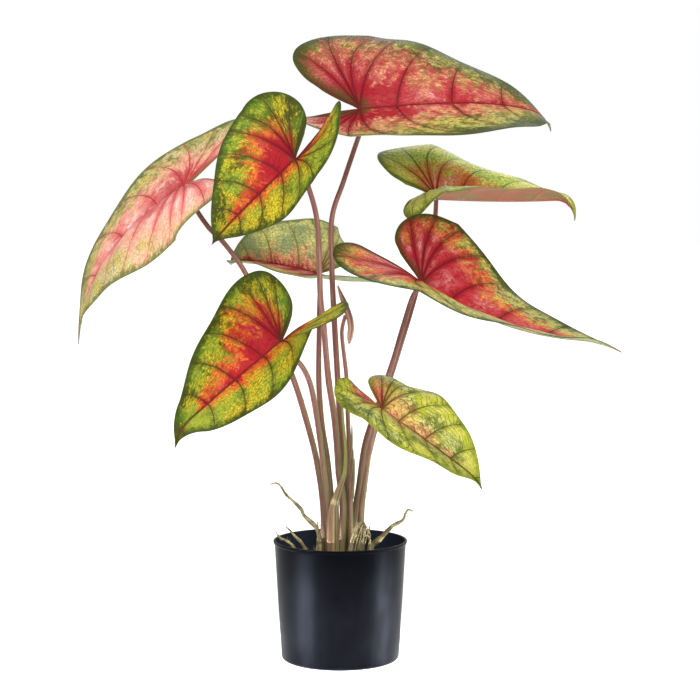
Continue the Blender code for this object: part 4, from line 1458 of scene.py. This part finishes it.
def make_crumbs(name, count, radii, material):
    """Crumbs strewn over the soil."""
    chance = Random(CRUMB_SEED)
    reach = SOIL_RADIUS - 2 * radii[1]
    shape = bmesh.new()
    for _ in range(count):
        radius = chance.uniform(*radii)
        distance = reach * chance.random() ** 0.5
        angle = chance.uniform(0, 2 * pi)
        x, y = distance * cos(angle), distance * sin(angle)
        add_crumb(shape, Vector((x, y, soil_height(x, y) + CRUMB_LIFT * radius)), radius, chance)
    ride_free(add_object(name, shape, material))


# Floor, light and camera


def make_floor():
    """A plain pale floor."""
    shape = bmesh.new()
    shape.faces.new([shape.verts.new((x, y, 0)) for x, y in FLOOR_CORNERS])
    surface = Surface("floor_paint", specular=0.1)
    surface.set("Emission Color", WHITE)
    surface.set("Emission Strength", FLOOR_GLOW)
    grain = surface.place().noise(40, detail=3).fade(0.3, 0.7)
    paint = surface.finished(grain.mix(FLOOR_PALE, FLOOR_PALER), 0.9)
    add_object("floor", shape, paint)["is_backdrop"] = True


def make_world():
    """White behind everything, and dimmer where it lights the plant."""
    world = bpy.data.worlds.new("studio")
    bpy.context.scene.world = world
    world.use_nodes = True
    tree = world.node_tree
    background = tree.nodes["Background"].inputs
    background["Color"].default_value = WHITE
    seen = add_node(tree, "LightPath", "Is Camera Ray", {})
    feed(tree, background["Strength"], seen.fade(0.0, 1.0, WORLD_LIGHT, 1.0))


def add_softbox(name, place, target, size, power, spread):
    """A soft rectangular light that the camera doesn't see."""
    data = bpy.data.lights.new(name, "AREA")
    data.shape = "RECTANGLE"
    data.size, data.size_y = size
    data.energy = power
    data.spread = spread
    light = add_to_scene(name, data)
    light.location = place
    light.rotation_mode = "QUATERNION"
    light.rotation_quaternion = (Vector(target) - Vector(place)).to_track_quat("-Z", "Y")
    light.visible_camera = False


def make_lights():
    """An even overhead sun for plant and floor, and softboxes."""
    sun = bpy.data.lights.new("even_light", "SUN")
    sun.energy = SUN_POWER
    sun.angle = SUN_SOFTNESS
    add_to_scene("even_light", sun).rotation_euler = SUN_TURN
    for softbox in SOFTBOXES:
        add_softbox(*softbox)


def make_camera():
    """The camera at the photograph's viewing angle."""
    data = bpy.data.cameras.new("camera")
    data.lens = CAMERA_LENS
    data.sensor_width = CAMERA_SENSOR
    camera = add_to_scene("camera", data)
    camera.location = CAMERA_PLACE
    camera.rotation_euler = (pi / 2 - CAMERA_PITCH, 0, 0)
    bpy.context.scene.camera = camera
    bpy.context.scene.view_settings.view_transform = "Standard"


def write_sizes():
    """Works out the boxes of the solids and of what is shown in their place, but writes nothing."""
    boxes = {"cad": CAD_BOX, "visual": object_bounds()}
    {name: [list(corner) for corner in box] for name, box in boxes.items()}


def main():
    """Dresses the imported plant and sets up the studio."""
    for number, (name, blade) in enumerate(BLADES.items()):
        make_blade(name, blade, number, LOOKS[name])
    skin = stalk_material()
    make_stalks(skin)
    make_young_shoot(skin)
    make_old_sheath()
    make_sheath_tips(plain_skin("sheath_tip_skin", STALK_MAUVE, STALK_OLIVE, 1.8, roughness=0.6))
    bark = root_material()
    make_roots(bark)
    make_soil(bark)
    make_pot()
    make_floor()
    make_world()
    make_lights()
    make_camera()


main()
write_sizes()
